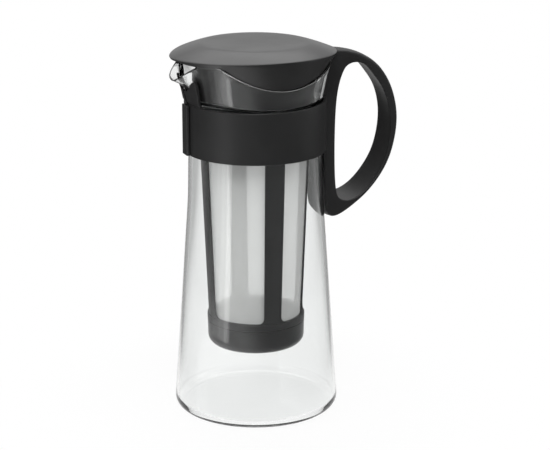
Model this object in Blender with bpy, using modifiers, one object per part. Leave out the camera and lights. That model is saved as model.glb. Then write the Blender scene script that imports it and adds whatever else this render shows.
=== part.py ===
# Cold brew coffee maker: a glass jug with a pouring lip, a plastic neck band moulded in
# one with its loop handle, a dovetail clasp that closes the band under the lip, a hanging
# strainer with its mesh sleeve and push-on cup, and a lid that plugs into the strainer.
# Units are metres. +Z is up, the lip points to -X, the handle to +X, and the origin is
# the middle of the base, on the table.

import math

import bmesh
import bpy

# Clearances
FIT_GAP = 0.0003
FOOT_GAP = 0.0004
LID_GAP = 0.0005
POST_GAP = 0.0012
CUT_OVERRUN = 0.004
MERGE_DISTANCE = 0.00001

# Glass jug, outer surface from the base upwards
BASE_RADIUS = 0.0490
BASE_CORNER = 0.0058
BASE_THICKNESS = 0.0032
GLASS_WALL = 0.0019
BODY_HEIGHT = 0.1280
BODY_TAPER = 0.00928
CONE_BLEND = 0.30
NECK_BLEND_HEIGHT = 0.0250
NECK_TAPER = 0.00052
NECK_HEIGHT = 0.0240
WAIST_SLOPE_HEIGHT = 0.0042
WAIST_DEPTH = 0.0038
WAIST_HEIGHT = 0.0038
WAIST_FILLET = 0.0024
CUP_STEP_HEIGHT = 0.0032
CUP_STEP = 0.0045
CUP_FOOT_FILLET = 0.0032
CUP_HEIGHT = 0.0178
CUP_FLARE = 0.0035

CONE_TOP_Z = BODY_HEIGHT
CONE_TOP_RADIUS = BASE_RADIUS - BODY_TAPER
NECK_FOOT_Z = CONE_TOP_Z + NECK_BLEND_HEIGHT
NECK_RADIUS = CONE_TOP_RADIUS - NECK_TAPER
NECK_TOP_Z = NECK_FOOT_Z + NECK_HEIGHT
WAIST_LOW_Z = NECK_TOP_Z + WAIST_SLOPE_HEIGHT
WAIST_HIGH_Z = WAIST_LOW_Z + WAIST_HEIGHT
WAIST_RADIUS = NECK_RADIUS - WAIST_DEPTH
CUP_FOOT_Z = WAIST_HIGH_Z + CUP_STEP_HEIGHT
CUP_FOOT_RADIUS = WAIST_RADIUS + CUP_STEP
RIM_PLAIN_Z = CUP_FOOT_Z + CUP_HEIGHT
RIM_PLAIN_RADIUS = CUP_FOOT_RADIUS + CUP_FLARE

# The rim dips at both sides and rises at the lip's shoulders and at the handle
SHOULDER_RISE = 0.0054
RIM_DIP = 0.0128
RIM_BACK_DROP = 0.0006
LIP_DROP = 0.0104
LIP_PROUD = 0.0004
SHOULDER_Z = RIM_PLAIN_Z + SHOULDER_RISE
RIM_LOW_Z = SHOULDER_Z - RIM_DIP
RIM_BACK_Z = SHOULDER_Z - RIM_BACK_DROP
LIP_TIP_Z = SHOULDER_Z - LIP_DROP
LIP_DROP_ANGLE = math.radians(26)
LIP_FLAT_ANGLE = math.radians(4)
LIP_EDGE_ANGLE = math.radians(24)
SHOULDER_END_ANGLE = math.radians(42)
RIM_LOW_ANGLE = math.radians(94)
RIM_BACK_ANGLE = math.radians(172)
SHOULDER_FALL = 0.62
LIP_CURL = 5.0
CUP_FOLLOW_SHARE = 0.3

# Neck band
BAND_OFFSET = 0.0038
BAND_HEIGHT = 0.0298
BAND_WALL = 0.00185
BAND_SPLIT = 0.0024
EAR_WALL = 0.0018
EAR_HEIGHT = 0.0154
EAR_TIP_ANGLE = math.radians(20.0)
EAR_TIP_HALF_ANGLE = math.radians(1.4)
EAR_OUTER_ANGLE = math.radians(22.0)
EAR_INNER_ANGLE = math.radians(1.2)
EAR_NOTCH_SHARE = 0.5
EAR_INNER_CURVE = 1.0
EAR_OUTER_CURVE = 0.8
EAR_ROOT_SHARE = 0.8
EAR_ROUND_SHARE = 0.12
EAR_TIP_FLAT_SHARE = 0.06
BAND_FOOT_Z = NECK_FOOT_Z + BAND_OFFSET
BAND_TOP_Z = BAND_FOOT_Z + BAND_HEIGHT
BAND_INNER_RADIUS = NECK_RADIUS + FIT_GAP
BAND_OUTER_RADIUS = BAND_INNER_RADIUS + BAND_WALL
EAR_TOP_Z = BAND_TOP_Z + EAR_HEIGHT

# Dovetail rail on the band's two ends, and the clasp that slides over it
RAIL_NECK_WIDTH = 0.0044
RAIL_HEAD_WIDTH = 0.0054
RAIL_DEPTH = 0.0009
CLASP_WIDTH = 0.0082
CLASP_DEPTH = 0.0021
CLASP_END_MARGIN = 0.0004
CLASP_ROUND = 0.0006

# Handle loop, as reach from the band and height from its foot
HANDLE_REACH = 0.0475
HANDLE_DROP = 0.0440
HANDLE_RISE = 0.0016
HANDLE_SINK = 0.00135
HANDLE_TOP_HALF_WIDTH = 0.0066
HANDLE_FOOT_HALF_WIDTH = 0.0136
HANDLE_CROWN = 0.0012
HANDLE_DISH = 0.0006
HANDLE_EDGE_ROUND = 0.0010
HANDLE_EDGE_STEP_SHARE = 0.3
HANDLE_EDGE_FALL_SHARE = 0.25
HANDLE_INNER_ROW_SHARE = 0.6
HANDLE_ROOT = BAND_OUTER_RADIUS - HANDLE_SINK
HANDLE_FOOT_Z = BAND_FOOT_Z - HANDLE_DROP
HANDLE_TOP_Z = SHOULDER_Z + HANDLE_RISE

# Strainer, whose collar hangs in the glass waist
COLLAR_FLARE = 0.0014
COLLAR_HEIGHT = 0.0256
COLLAR_LIP_HEIGHT = 0.0090
COLLAR_WALL = 0.0018
FRAME_WALL = 0.0017
STRAINER_DRAFT = 0.0010
STRAINER_TAPER = 0.0039
STRAINER_SHOULDER_HEIGHT = 0.0294
STRAINER_LENGTH = 0.0956
RIB_HALF_ANGLE = math.radians(10.8)
RIB_COUNT = 4
WINDOW_RISE = 0.0080
WINDOW_CORNER = 0.0040
WINDOW_NEAR_SHARE = 0.33
RING_PROUD = 0.0006
RING_HEIGHT = 0.0040
MESH_WALL = 0.0005
MESH_LAP = 0.0032
CUP_DEPTH = 0.0148
CUP_SHY = 0.0001
CUP_CORNER = 0.0054
CUP_WALL = 0.0016
CUP_SPIGOT_HEIGHT = 0.0024
SEAT_Z = (WAIST_LOW_Z + WAIST_HIGH_Z) / 2 + FIT_GAP
SEAT_RADIUS = WAIST_RADIUS - GLASS_WALL - FIT_GAP
COLLAR_RADIUS = SEAT_RADIUS + COLLAR_FLARE
COLLAR_TOP_Z = SEAT_Z + COLLAR_HEIGHT
COLLAR_TAPER_Z = COLLAR_TOP_Z - COLLAR_LIP_HEIGHT
STRAINER_TOP_RADIUS = SEAT_RADIUS - STRAINER_DRAFT
STRAINER_FOOT_RADIUS = STRAINER_TOP_RADIUS - STRAINER_TAPER
STRAINER_TOP_Z = SEAT_Z - STRAINER_SHOULDER_HEIGHT
STRAINER_FOOT_Z = STRAINER_TOP_Z - STRAINER_LENGTH
WINDOW_TOP_Z = STRAINER_TOP_Z + WINDOW_RISE
WINDOW_FOOT_Z = STRAINER_FOOT_Z - RING_PROUD
RING_RADIUS = STRAINER_FOOT_RADIUS + RING_PROUD
RING_FOOT_Z = WINDOW_FOOT_Z - RING_HEIGHT
CUP_BOTTOM_Z = RING_FOOT_Z - CUP_DEPTH
CUP_RADIUS = RING_RADIUS - CUP_SHY

# Lid, an oval that overhangs the cup most over the lip
LID_LENGTH_OVERHANG = 0.0063
LID_WIDTH_OVERHANG = 0.0022
LID_SHIFT = 0.0010
LID_LENGTH_POWER = 2.0
LID_WIDTH_POWER = 1.65
LID_TIP_RISE = 0.0023
LID_SIDE_RISE = 0.0020
LID_CROWN = 0.0061
LID_HOLLOW = 0.0004
LID_RING_INSET = 0.0124
LID_FALL = 1.25
LID_EDGE_HEIGHT = 0.0024
LID_TIP_EDGE_HEIGHT = 0.0009
LID_TIP_EDGE_ANGLE = math.radians(34)
LID_WALL = 0.0020
APRON_INSET = 0.0012
LID_PLUG_HEIGHT = 0.0080
LID_PLUG_WALL = 0.0018
APRON_START_ANGLE = math.radians(43)
APRON_FULL_ANGLE = math.radians(56)
LID_HALF_LENGTH = RIM_PLAIN_RADIUS + LID_LENGTH_OVERHANG
LID_HALF_WIDTH = RIM_PLAIN_RADIUS + LID_WIDTH_OVERHANG
LID_TIP_Z = SHOULDER_Z + LID_TIP_RISE
LID_SIDE_Z = LID_TIP_Z + LID_SIDE_RISE
LID_RING_Z = LID_TIP_Z + LID_CROWN
LID_CENTRE_Z = LID_RING_Z - LID_HOLLOW
LID_RING_RADIUS = RIM_PLAIN_RADIUS - LID_RING_INSET
LID_PLUG_FOOT_Z = COLLAR_TOP_Z - LID_PLUG_HEIGHT

# Mesh density
CUP_ROW_SHARES = (0.33, 0.55, 0.72, 0.87, 1.0)
LID_INNER_RING_SHARE = 0.55
LID_SLOPE_SHARE = 0.55
TURN_STEPS = 64
ARC_STEPS = 3

PARTS = "cold_brew_coffee_maker"
CUTTERS = "cutters"


# Scene and material helpers

def clear_scene():
    for old in list(bpy.data.objects):
        bpy.data.objects.remove(old, do_unlink=True)


def collection(name):
    found = bpy.data.collections.get(name)
    if found is None:
        found = bpy.data.collections.new(name)
        bpy.context.scene.collection.children.link(found)
    return found


def plastic(name, colour, roughness, alpha=1.0, transmission=0.0):
    material = bpy.data.materials.new(name)
    material.use_nodes = True
    shader = material.node_tree.nodes["Principled BSDF"]
    shader.inputs["Base Color"].default_value = (*colour, 1.0)
    shader.inputs["Roughness"].default_value = roughness
    shader.inputs["Metallic"].default_value = 0.0
    shader.inputs["Alpha"].default_value = alpha
    shader.inputs["Transmission Weight"].default_value = transmission
    return material


def add_object(name, mesh, material=None, cutter=False):
    obj = bpy.data.objects.new(name, mesh)
    collection(CUTTERS if cutter else PARTS).objects.link(obj)
    if material is not None:
        mesh.materials.clear()
        mesh.materials.append(material)
    if cutter:
        obj.hide_render = True
        obj.display_type = "WIRE"
    return obj


def boolean(obj, other, operation):
    modifier = obj.modifiers.new(operation.title(), "BOOLEAN")
    modifier.operation = operation
    modifier.solver = "EXACT"
    modifier.object = other


# Geometry helpers

def smooth_step(value):
    value = min(max(value, 0.0), 1.0)
    return value * value * (3 - 2 * value)


def mix(low, high, share):
    return low + (high - low) * share


def rounded_path(corners):
    """Points of a path whose corners, given as (r, z, fillet), are rounded by arcs."""
    points = []
    last = len(corners) - 1
    for index, (r, z, fillet) in enumerate(corners):
        if index in (0, last) or fillet == 0:
            points.append((r, z))
            continue
        before, after = corners[index - 1], corners[index + 1]
        to_before = math.atan2(before[1] - z, before[0] - r)
        to_after = math.atan2(after[1] - z, after[0] - r)
        turn = (to_after - to_before + math.pi) % (2 * math.pi) - math.pi
        half = abs(turn) / 2
        middle = to_before + turn / 2
        reach = fillet / math.sin(half)
        centre = (r + reach * math.cos(middle), z + reach * math.sin(middle))
        sweep = math.pi - abs(turn)
        sign = 1 if turn > 0 else -1
        for step in range(ARC_STEPS + 1):
            angle = middle + math.pi + sign * sweep * (step / ARC_STEPS - 0.5) * -1
            points.append((centre[0] + fillet * math.cos(angle), centre[1] + fillet * math.sin(angle)))
    return points


def offset_path(points, distance):
    """The path moved to its left side by the given distance."""
    moved = []
    for index, (r, z) in enumerate(points):
        before = points[max(index - 1, 0)]
        after = points[min(index + 1, len(points) - 1)]
        run, rise = after[0] - before[0], after[1] - before[1]
        length = math.hypot(run, rise)
        moved.append((r - rise / length * distance, z + run / length * distance))
    return moved


def turned(name, profile, material=None, cutter=False, closed=False):
    """A solid turned about Z from a profile, given top to bottom along its outer side."""
    mesh = bpy.data.meshes.new(name)
    edges = [(i, i + 1) for i in range(len(profile) - 1)]
    if closed:
        edges.append((len(profile) - 1, 0))
    mesh.from_pydata([(r, 0, z) for r, z in profile], edges, [])
    obj = add_object(name, mesh, material, cutter)
    screw = obj.modifiers.new("Turn", "SCREW")
    screw.axis = "Z"
    screw.steps = TURN_STEPS
    screw.render_steps = TURN_STEPS
    screw.use_merge_vertices = True
    screw.merge_threshold = MERGE_DISTANCE
    return obj


def bake(obj):
    """Apply the object's modifiers and return its own plain mesh."""
    graph = bpy.context.evaluated_depsgraph_get()
    mesh = bpy.data.meshes.new_from_object(obj.evaluated_get(graph))
    obj.modifiers.clear()
    obj.data = mesh
    return mesh


def loft(name, rings, material=None, cutter=False, looped=False):
    """A closed solid through rings of equally many points, capped unless it is a loop."""
    mesh = bpy.data.meshes.new(name)
    build = bmesh.new()
    rows = [[build.verts.new(point) for point in ring] for ring in rings]
    count = len(rings[0])
    spans = len(rows) if looped else len(rows) - 1
    for row in range(spans):
        low, high = rows[row], rows[(row + 1) % len(rows)]
        for i in range(count):
            j = (i + 1) % count
            build.faces.new((low[i], low[j], high[j], high[i]))
    if not looped:
        build.faces.new(list(reversed(rows[0])))
        build.faces.new(rows[-1])
    bmesh.ops.recalc_face_normals(build, faces=build.faces)
    build.to_mesh(mesh)
    build.free()
    return add_object(name, mesh, material, cutter)


def prism(name, outline, low_z, high_z, material=None, cutter=False):
    """A flat outline of (x, y) points, extruded from low_z to high_z."""
    curve = bpy.data.curves.new(name, "CURVE")
    curve.dimensions = "2D"
    curve.fill_mode = "BOTH"
    curve.extrude = (high_z - low_z) / 2
    spline = curve.splines.new("POLY")
    spline.points.add(len(outline) - 1)
    for point, (x, y) in zip(spline.points, outline):
        point.co = (x, y, 0, 1)
    spline.use_cyclic_u = True
    shape = bpy.data.objects.new(name + "_outline", curve)
    collection(CUTTERS).objects.link(shape)
    shape.location.z = (low_z + high_z) / 2
    bpy.context.view_layer.update()
    graph = bpy.context.evaluated_depsgraph_get()
    mesh = bpy.data.meshes.new_from_object(shape.evaluated_get(graph))
    mesh.transform(shape.matrix_world)
    bpy.data.objects.remove(shape, do_unlink=True)
    clean = bmesh.new()
    clean.from_mesh(mesh)
    bmesh.ops.remove_doubles(clean, verts=clean.verts, dist=MERGE_DISTANCE)
    clean.to_mesh(mesh)
    clean.free()
    return add_object(name, mesh, material, cutter)


def smooth_loop(points, steps):
    """Points of a closed smooth curve through the given points."""
    curve = []
    count = len(points)
    for index in range(count):
        a, b, c, d = (points[(index + k) % count] for k in (-1, 0, 1, 2))
        for step in range(steps):
            t = step / steps
            curve.append(tuple(
                0.5 * (2 * q + (r - p) * t + (2 * p - 5 * q + 4 * r - s) * t * t
                       + (3 * q - p - 3 * r + s) * t ** 3)
                for p, q, r, s in zip(a, b, c, d)))
    return curve


# Glass jug

def lip_angle(angle):
    """Angle away from the lip, which points to -X."""
    return abs(angle % (2 * math.pi) - math.pi)


def rim_height(away):
    """Height of the glass rim at an angle away from the lip."""
    if away < SHOULDER_END_ANGLE:
        return mix(LIP_TIP_Z, SHOULDER_Z, smooth_step(away / LIP_DROP_ANGLE))
    if away < RIM_LOW_ANGLE:
        share = (away - SHOULDER_END_ANGLE) / (RIM_LOW_ANGLE - SHOULDER_END_ANGLE)
        return mix(SHOULDER_Z, RIM_LOW_Z, smooth_step(share ** SHOULDER_FALL))
    share = (away - RIM_LOW_ANGLE) / (RIM_BACK_ANGLE - RIM_LOW_ANGLE)
    return mix(RIM_LOW_Z, RIM_BACK_Z, smooth_step(share))


def lip_push(away, share):
    """How far the lip is drawn outwards, at a share of the cup's height."""
    spread = 1 - smooth_step((away - LIP_FLAT_ANGLE) / (LIP_EDGE_ANGLE - LIP_FLAT_ANGLE))
    reach = LID_HALF_LENGTH + LID_SHIFT + LIP_PROUD - cup_flare(LIP_TIP_Z)
    return reach * spread * share ** LIP_CURL


def cup_flare(z):
    """Outer radius of the cup's straight flare at a height."""
    slope = (RIM_PLAIN_RADIUS - CUP_FOOT_RADIUS) / (RIM_PLAIN_Z - CUP_FOOT_Z)
    return CUP_FOOT_RADIUS + slope * (z - CUP_FOOT_Z)


def glass_outline():
    """Outer surface of the glass from the middle of its base to the plain rim."""
    brim_z = RIM_PLAIN_Z - GLASS_WALL / 2
    brim_radius = cup_flare(brim_z)
    return rounded_path([
        (0, 0, 0),
        (BASE_RADIUS, 0, BASE_CORNER),
        (CONE_TOP_RADIUS, CONE_TOP_Z, CONE_BLEND),
        (NECK_RADIUS, NECK_FOOT_Z, 0),
        (NECK_RADIUS, NECK_TOP_Z, WAIST_FILLET),
        (WAIST_RADIUS, WAIST_LOW_Z, WAIST_FILLET),
        (WAIST_RADIUS, WAIST_HIGH_Z, WAIST_FILLET),
        (CUP_FOOT_RADIUS, CUP_FOOT_Z, CUP_FOOT_FILLET),
    ] + [(mix(CUP_FOOT_RADIUS, brim_radius, share), mix(CUP_FOOT_Z, brim_z, share), 0)
         for share in CUP_ROW_SHARES])


def shape_cup(vertex):
    """Move a vertex of the plain turned cup to the dipping rim and the drawn lip."""
    x, y, z = vertex.co
    if z <= WAIST_HIGH_Z:
        return
    radius = math.hypot(x, y)
    angle = math.atan2(y, x)
    away = lip_angle(angle)
    share = (z - WAIST_HIGH_Z) / (RIM_PLAIN_Z - WAIST_HIGH_Z)
    new_z = mix(WAIST_HIGH_Z, rim_height(away), share)
    follow = smooth_step(share / CUP_FOLLOW_SHARE)
    new_radius = radius + follow * (cup_flare(new_z) - cup_flare(z)) + lip_push(away, min(share, 1))
    vertex.co = (new_radius * math.cos(angle), new_radius * math.sin(angle), new_z)


def make_jug(material):
    outer = glass_outline()
    floor = (BASE_RADIUS - BASE_CORNER, BASE_THICKNESS)
    inner = [point for point in offset_path(outer[1:], GLASS_WALL) if point[1] > floor[1] + GLASS_WALL / 2]
    top_out, top_in = outer[-1], inner[-1]
    rim = []
    centre = (mix(top_out[0], top_in[0], 0.5), mix(top_out[1], top_in[1], 0.5))
    half = math.hypot(top_out[0] - top_in[0], top_out[1] - top_in[1]) / 2
    start = math.atan2(top_out[1] - centre[1], top_out[0] - centre[0])
    for step in range(1, ARC_STEPS):
        angle = start + math.pi * step / ARC_STEPS
        rim.append((centre[0] + half * math.cos(angle), centre[1] + half * math.sin(angle)))
    profile = outer + rim + list(reversed(inner)) + [floor, (0, BASE_THICKNESS)]
    jug = turned("glass_jug", list(reversed(profile)), material)
    mesh = bake(jug)
    for vertex in mesh.vertices:
        shape_cup(vertex)
    return jug


# Neck band with its ears, rail and handle loop

def make_band_ring():
    ring = turned("band_ring", [
        (BAND_OUTER_RADIUS, BAND_TOP_Z),
        (BAND_OUTER_RADIUS, BAND_FOOT_Z),
        (BAND_INNER_RADIUS, BAND_FOOT_Z),
        (BAND_INNER_RADIUS, BAND_TOP_Z),
    ], cutter=True, closed=True)
    return ring


def ear_surface(z, away):
    """Radius of the ear's inner face, just clear of the cup and its lip."""
    share = max((z - WAIST_HIGH_Z) / (rim_height(away) - WAIST_HIGH_Z), 0)
    glass = cup_flare(z) + lip_push(away, min(share, 1))
    return max(BAND_INNER_RADIUS, glass + FIT_GAP) if z > CUP_FOOT_Z else BAND_INNER_RADIUS


def make_ear(side):
    """A fin beside the lip, from inside the band's wall up to a rounded tip."""
    rings = []
    rows, columns = 10, 5
    start_z = mix(BAND_FOOT_Z, BAND_TOP_Z, EAR_ROOT_SHARE)
    for row in range(rows + 1):
        z = mix(start_z, EAR_TOP_Z, row / rows)
        share = max((z - BAND_TOP_Z) / (EAR_TOP_Z - BAND_TOP_Z), 0)
        past_round = max(share - 1 + EAR_ROUND_SHARE, 0) / EAR_ROUND_SHARE
        round_off = math.sqrt(max(1 - past_round ** 2, EAR_TIP_FLAT_SHARE))
        past_notch = max(share - EAR_NOTCH_SHARE, 0) / (1 - EAR_NOTCH_SHARE)
        low = mix(EAR_INNER_ANGLE, EAR_TIP_ANGLE - EAR_TIP_HALF_ANGLE * round_off,
                  past_notch ** EAR_INNER_CURVE)
        high = mix(EAR_OUTER_ANGLE, EAR_TIP_ANGLE + EAR_TIP_HALF_ANGLE * round_off, share ** EAR_OUTER_CURVE)
        inside, outside = [], []
        for column in range(columns + 1):
            away = mix(low, high, column / columns)
            angle = math.pi - side * away
            inner = ear_surface(z, away)
            inner = max(inner, BAND_INNER_RADIUS + (FIT_GAP if share == 0 else 0))
            outer = max(inner + EAR_WALL, BAND_OUTER_RADIUS) if share > 0 else BAND_OUTER_RADIUS - FIT_GAP
            inside.append((inner * math.cos(angle), inner * math.sin(angle), z))
            outside.append((outer * math.cos(angle), outer * math.sin(angle), z))
        rings.append(inside + list(reversed(outside)))
    return loft("ear", rings, cutter=True)


def make_rail():
    """The dovetail rail that the band's two ends form in front."""
    root = -BAND_OUTER_RADIUS + BAND_WALL / 2
    foot = -BAND_OUTER_RADIUS
    head = foot - RAIL_DEPTH
    outline = [
        (root, -RAIL_NECK_WIDTH / 2), (foot, -RAIL_NECK_WIDTH / 2), (head, -RAIL_HEAD_WIDTH / 2),
        (head, RAIL_HEAD_WIDTH / 2), (foot, RAIL_NECK_WIDTH / 2), (root, RAIL_NECK_WIDTH / 2),
    ]
    return prism("rail", outline, BAND_FOOT_Z + CLASP_END_MARGIN, BAND_TOP_Z - CLASP_END_MARGIN, cutter=True)


# Stations round the handle's hole: (reach, height) shares of the hole's edge, then of the
# outer edge, both from the root and the foot. The last ones run down the jug's side.
HANDLE_STATION_SHARES = [
    ((0.252, 0.862), (0.000, 0.870)),
    ((0.325, 0.905), (0.060, 1.000)),
    ((0.430, 0.918), (0.370, 0.991)),
    ((0.548, 0.901), (0.585, 0.951)),
    ((0.664, 0.835), (0.771, 0.886)),
    ((0.798, 0.742), (0.926, 0.762)),
    ((0.881, 0.581), (1.000, 0.583)),
    ((0.838, 0.397), (0.930, 0.397)),
    ((0.722, 0.272), (0.796, 0.263)),
    ((0.536, 0.164), (0.588, 0.146)),
    ((0.340, 0.112), (0.352, 0.064)),
    ((0.190, 0.118), (0.020, 0.000)),
    ((0.126, 0.190), (-0.040, 0.180)),
    ((0.128, 0.470), (-0.040, 0.470)),
    ((0.167, 0.731), (-0.040, 0.731)),
]
HANDLE_STEPS = 3


def handle_point(shares):
    reach = HANDLE_ROOT + HANDLE_REACH * shares[0]
    height = mix(HANDLE_FOOT_Z, HANDLE_TOP_Z, shares[1])
    return reach, height


def handle_half_width(z):
    share = (z - HANDLE_FOOT_Z) / (HANDLE_TOP_Z - HANDLE_FOOT_Z)
    return mix(HANDLE_FOOT_HALF_WIDTH, HANDLE_TOP_HALF_WIDTH, min(max(share, 0), 1))


def handle_section(inner, outer):
    """One ring of points across the loop, crowned outside and slightly dished inside."""
    run, rise = outer[0] - inner[0], outer[1] - inner[1]
    length = math.hypot(run, rise)
    run, rise = run / length, rise / length
    half = handle_half_width((inner[1] + outer[1]) / 2)
    soft = HANDLE_EDGE_ROUND
    wide = half - soft * HANDLE_EDGE_STEP_SHARE
    inside = half * HANDLE_INNER_ROW_SHARE
    across = [-half, -wide, -inside, 0, inside, wide, half]
    ring = []
    for y in across:
        edge = soft if abs(y) == half else soft * HANDLE_EDGE_FALL_SHARE if abs(y) == wide else 0
        depth = HANDLE_CROWN * (y / half) ** 2 + edge
        ring.append((outer[0] - run * depth, y, outer[1] - rise * depth))
    for y in reversed(across):
        edge = soft if abs(y) == half else soft * HANDLE_EDGE_FALL_SHARE if abs(y) == wide else 0
        depth = HANDLE_DISH * (1 - (y / half) ** 2) + edge
        ring.append((inner[0] + run * depth, y, inner[1] + rise * depth))
    return ring


def make_handle_loop():
    stations = [handle_point(hole) + handle_point(edge) for hole, edge in HANDLE_STATION_SHARES]
    rings = []
    for hole_x, hole_z, edge_x, edge_z in smooth_loop(stations, HANDLE_STEPS):
        rings.append(handle_section((hole_x, hole_z), (edge_x, edge_z)))
    return loft("handle_loop", rings, cutter=True, looped=True)


def make_jug_space():
    """The turned space that the handle stays out of: the glass with its clearance."""
    low = HANDLE_FOOT_Z - CUT_OVERRUN
    cone_radius = mix(BASE_RADIUS, CONE_TOP_RADIUS, (low - BASE_CORNER) / (CONE_TOP_Z - BASE_CORNER))
    wall = [(cone_radius, low)] + [point for point in glass_outline() if low < point[1] < BAND_FOOT_Z]
    side = [(r + FOOT_GAP, z) for r, z in reversed(wall)]
    return turned("jug_space", [
        (0, SHOULDER_Z + LID_GAP),
        (cup_flare(SHOULDER_Z) + POST_GAP, SHOULDER_Z + LID_GAP),
        (cup_flare(CUP_FOOT_Z) + POST_GAP, CUP_FOOT_Z),
        (BAND_INNER_RADIUS, BAND_TOP_Z),
        (BAND_INNER_RADIUS, BAND_FOOT_Z),
    ] + side + [(0, low)], cutter=True)


def make_split():
    """The slit between the band's two ends and between the ears, under the lip."""
    reach = BAND_OUTER_RADIUS + RAIL_DEPTH + CUT_OVERRUN
    half = BAND_SPLIT / 2
    outline = [(-reach, -half), (0, -half), (0, half), (-reach, half)]
    return prism("band_slit", outline, BAND_FOOT_Z - CUT_OVERRUN, EAR_TOP_Z + CUT_OVERRUN, cutter=True)


def make_handle_band(material):
    handle = make_handle_loop()
    for space in (make_lid_space(), make_jug_space()):
        boolean(handle, space, "DIFFERENCE")
        bake(handle)
    ring = make_band_ring()
    bake(ring)
    band = add_object("handle_band", ring.data.copy(), material)
    boolean(band, handle, "UNION")
    for side in (1, -1):
        boolean(band, make_ear(side), "UNION")
    boolean(band, make_rail(), "UNION")
    boolean(band, make_split(), "DIFFERENCE")
    return band


def make_clasp(material):
    """The dovetail clasp, a channel that slides down over the rail."""
    back = -BAND_OUTER_RADIUS - FIT_GAP
    front = -BAND_OUTER_RADIUS - CLASP_DEPTH
    half = CLASP_WIDTH / 2
    slot = -BAND_OUTER_RADIUS - RAIL_DEPTH - FIT_GAP
    neck = RAIL_NECK_WIDTH / 2 + FIT_GAP
    head = RAIL_HEAD_WIDTH / 2 + FIT_GAP
    outline = [
        (back, -half), (back, -neck), (slot, -head), (slot, head), (back, neck), (back, half),
        (front + CLASP_ROUND, half), (front, half - CLASP_ROUND),
        (front, -half + CLASP_ROUND), (front + CLASP_ROUND, -half),
    ]
    return prism("band_clasp", outline, BAND_FOOT_Z + FIT_GAP, BAND_TOP_Z - FIT_GAP, material)


# Strainer

def strainer_radius(z):
    """Outer radius of the strainer's straight taper at a height."""
    share = (z - STRAINER_FOOT_Z) / (STRAINER_TOP_Z - STRAINER_FOOT_Z)
    return mix(STRAINER_FOOT_RADIUS, STRAINER_TOP_RADIUS, share)


def make_window(index):
    """A radial cutter for one window between two ribs."""
    low_half = strainer_radius(WINDOW_FOOT_Z) * math.sin(math.pi / RIB_COUNT - RIB_HALF_ANGLE)
    top_half = strainer_radius(WINDOW_TOP_Z) * math.sin(math.pi / RIB_COUNT - RIB_HALF_ANGLE)
    corners = [
        (0, WINDOW_FOOT_Z, 0), (low_half, WINDOW_FOOT_Z, WINDOW_CORNER),
        (top_half, WINDOW_TOP_Z, WINDOW_CORNER), (0, WINDOW_TOP_Z, 0),
    ]
    right = rounded_path(corners)
    left = [(-x, z) for x, z in reversed(right[1:-1])]
    outline = right + left
    turn = (index + 0.5) * 2 * math.pi / RIB_COUNT
    near = strainer_radius(WINDOW_FOOT_Z) * WINDOW_NEAR_SHARE
    far = COLLAR_RADIUS + CUT_OVERRUN
    rings = []
    for reach in (near, far):
        rings.append([
            (reach * math.cos(turn) - x * math.sin(turn), reach * math.sin(turn) + x * math.cos(turn), z)
            for x, z in outline])
    return loft("window", rings, cutter=True)


def make_frame(material):
    ring_inner = STRAINER_FOOT_RADIUS - FRAME_WALL
    profile = [
        (COLLAR_RADIUS, COLLAR_TOP_Z),
        (COLLAR_RADIUS, COLLAR_TAPER_Z),
        (SEAT_RADIUS, SEAT_Z),
        (STRAINER_TOP_RADIUS, STRAINER_TOP_Z),
        (strainer_radius(WINDOW_FOOT_Z), WINDOW_FOOT_Z),
        (RING_RADIUS, WINDOW_FOOT_Z - (RING_RADIUS - STRAINER_FOOT_RADIUS)),
        (RING_RADIUS, RING_FOOT_Z),
        (ring_inner, RING_FOOT_Z),
        (ring_inner, STRAINER_FOOT_Z),
        (STRAINER_TOP_RADIUS - FRAME_WALL, STRAINER_TOP_Z),
        (SEAT_RADIUS - COLLAR_WALL, SEAT_Z),
        (COLLAR_RADIUS - COLLAR_WALL, COLLAR_TAPER_Z),
        (COLLAR_RADIUS - COLLAR_WALL, COLLAR_TOP_Z),
    ]
    frame = turned("strainer_frame", profile, material, closed=True)
    for index in range(RIB_COUNT):
        boolean(frame, make_window(index), "DIFFERENCE")
    return frame


def make_mesh(material):
    """The woven sleeve, a thin open tube held inside the frame's ribs."""
    top = WINDOW_TOP_Z + MESH_LAP
    foot = STRAINER_FOOT_Z - MESH_LAP / 2
    inset = FRAME_WALL + FIT_GAP

    def face(z, depth):
        return strainer_radius(min(max(z, STRAINER_FOOT_Z), STRAINER_TOP_Z)) - inset - depth
    profile = []
    for depth, heights in ((0, (top, STRAINER_TOP_Z, STRAINER_FOOT_Z, foot)),
                           (MESH_WALL, (foot, STRAINER_FOOT_Z, STRAINER_TOP_Z, top))):
        profile += [(face(z, depth), z) for z in heights]
    return turned("strainer_mesh", profile, material, closed=True)


def make_cup(material):
    """The push-on cup that closes the strainer's foot."""
    top = RING_FOOT_Z - FIT_GAP
    spigot = STRAINER_FOOT_RADIUS - FRAME_WALL - FIT_GAP
    inside = rounded_path([(0, CUP_BOTTOM_Z + CUP_WALL, 0),
                           (spigot - CUP_WALL, CUP_BOTTOM_Z + CUP_WALL, CUP_CORNER - CUP_WALL),
                           (spigot - CUP_WALL, RING_FOOT_Z + CUP_SPIGOT_HEIGHT, 0)])
    step = [(spigot, RING_FOOT_Z + CUP_SPIGOT_HEIGHT), (spigot, top)]
    outside = rounded_path([(CUP_RADIUS, top, 0), (CUP_RADIUS - FIT_GAP, CUP_BOTTOM_Z, CUP_CORNER),
                            (0, CUP_BOTTOM_Z, 0)])
    return turned("strainer_cup", inside + step + outside, material)


# Lid

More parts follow.
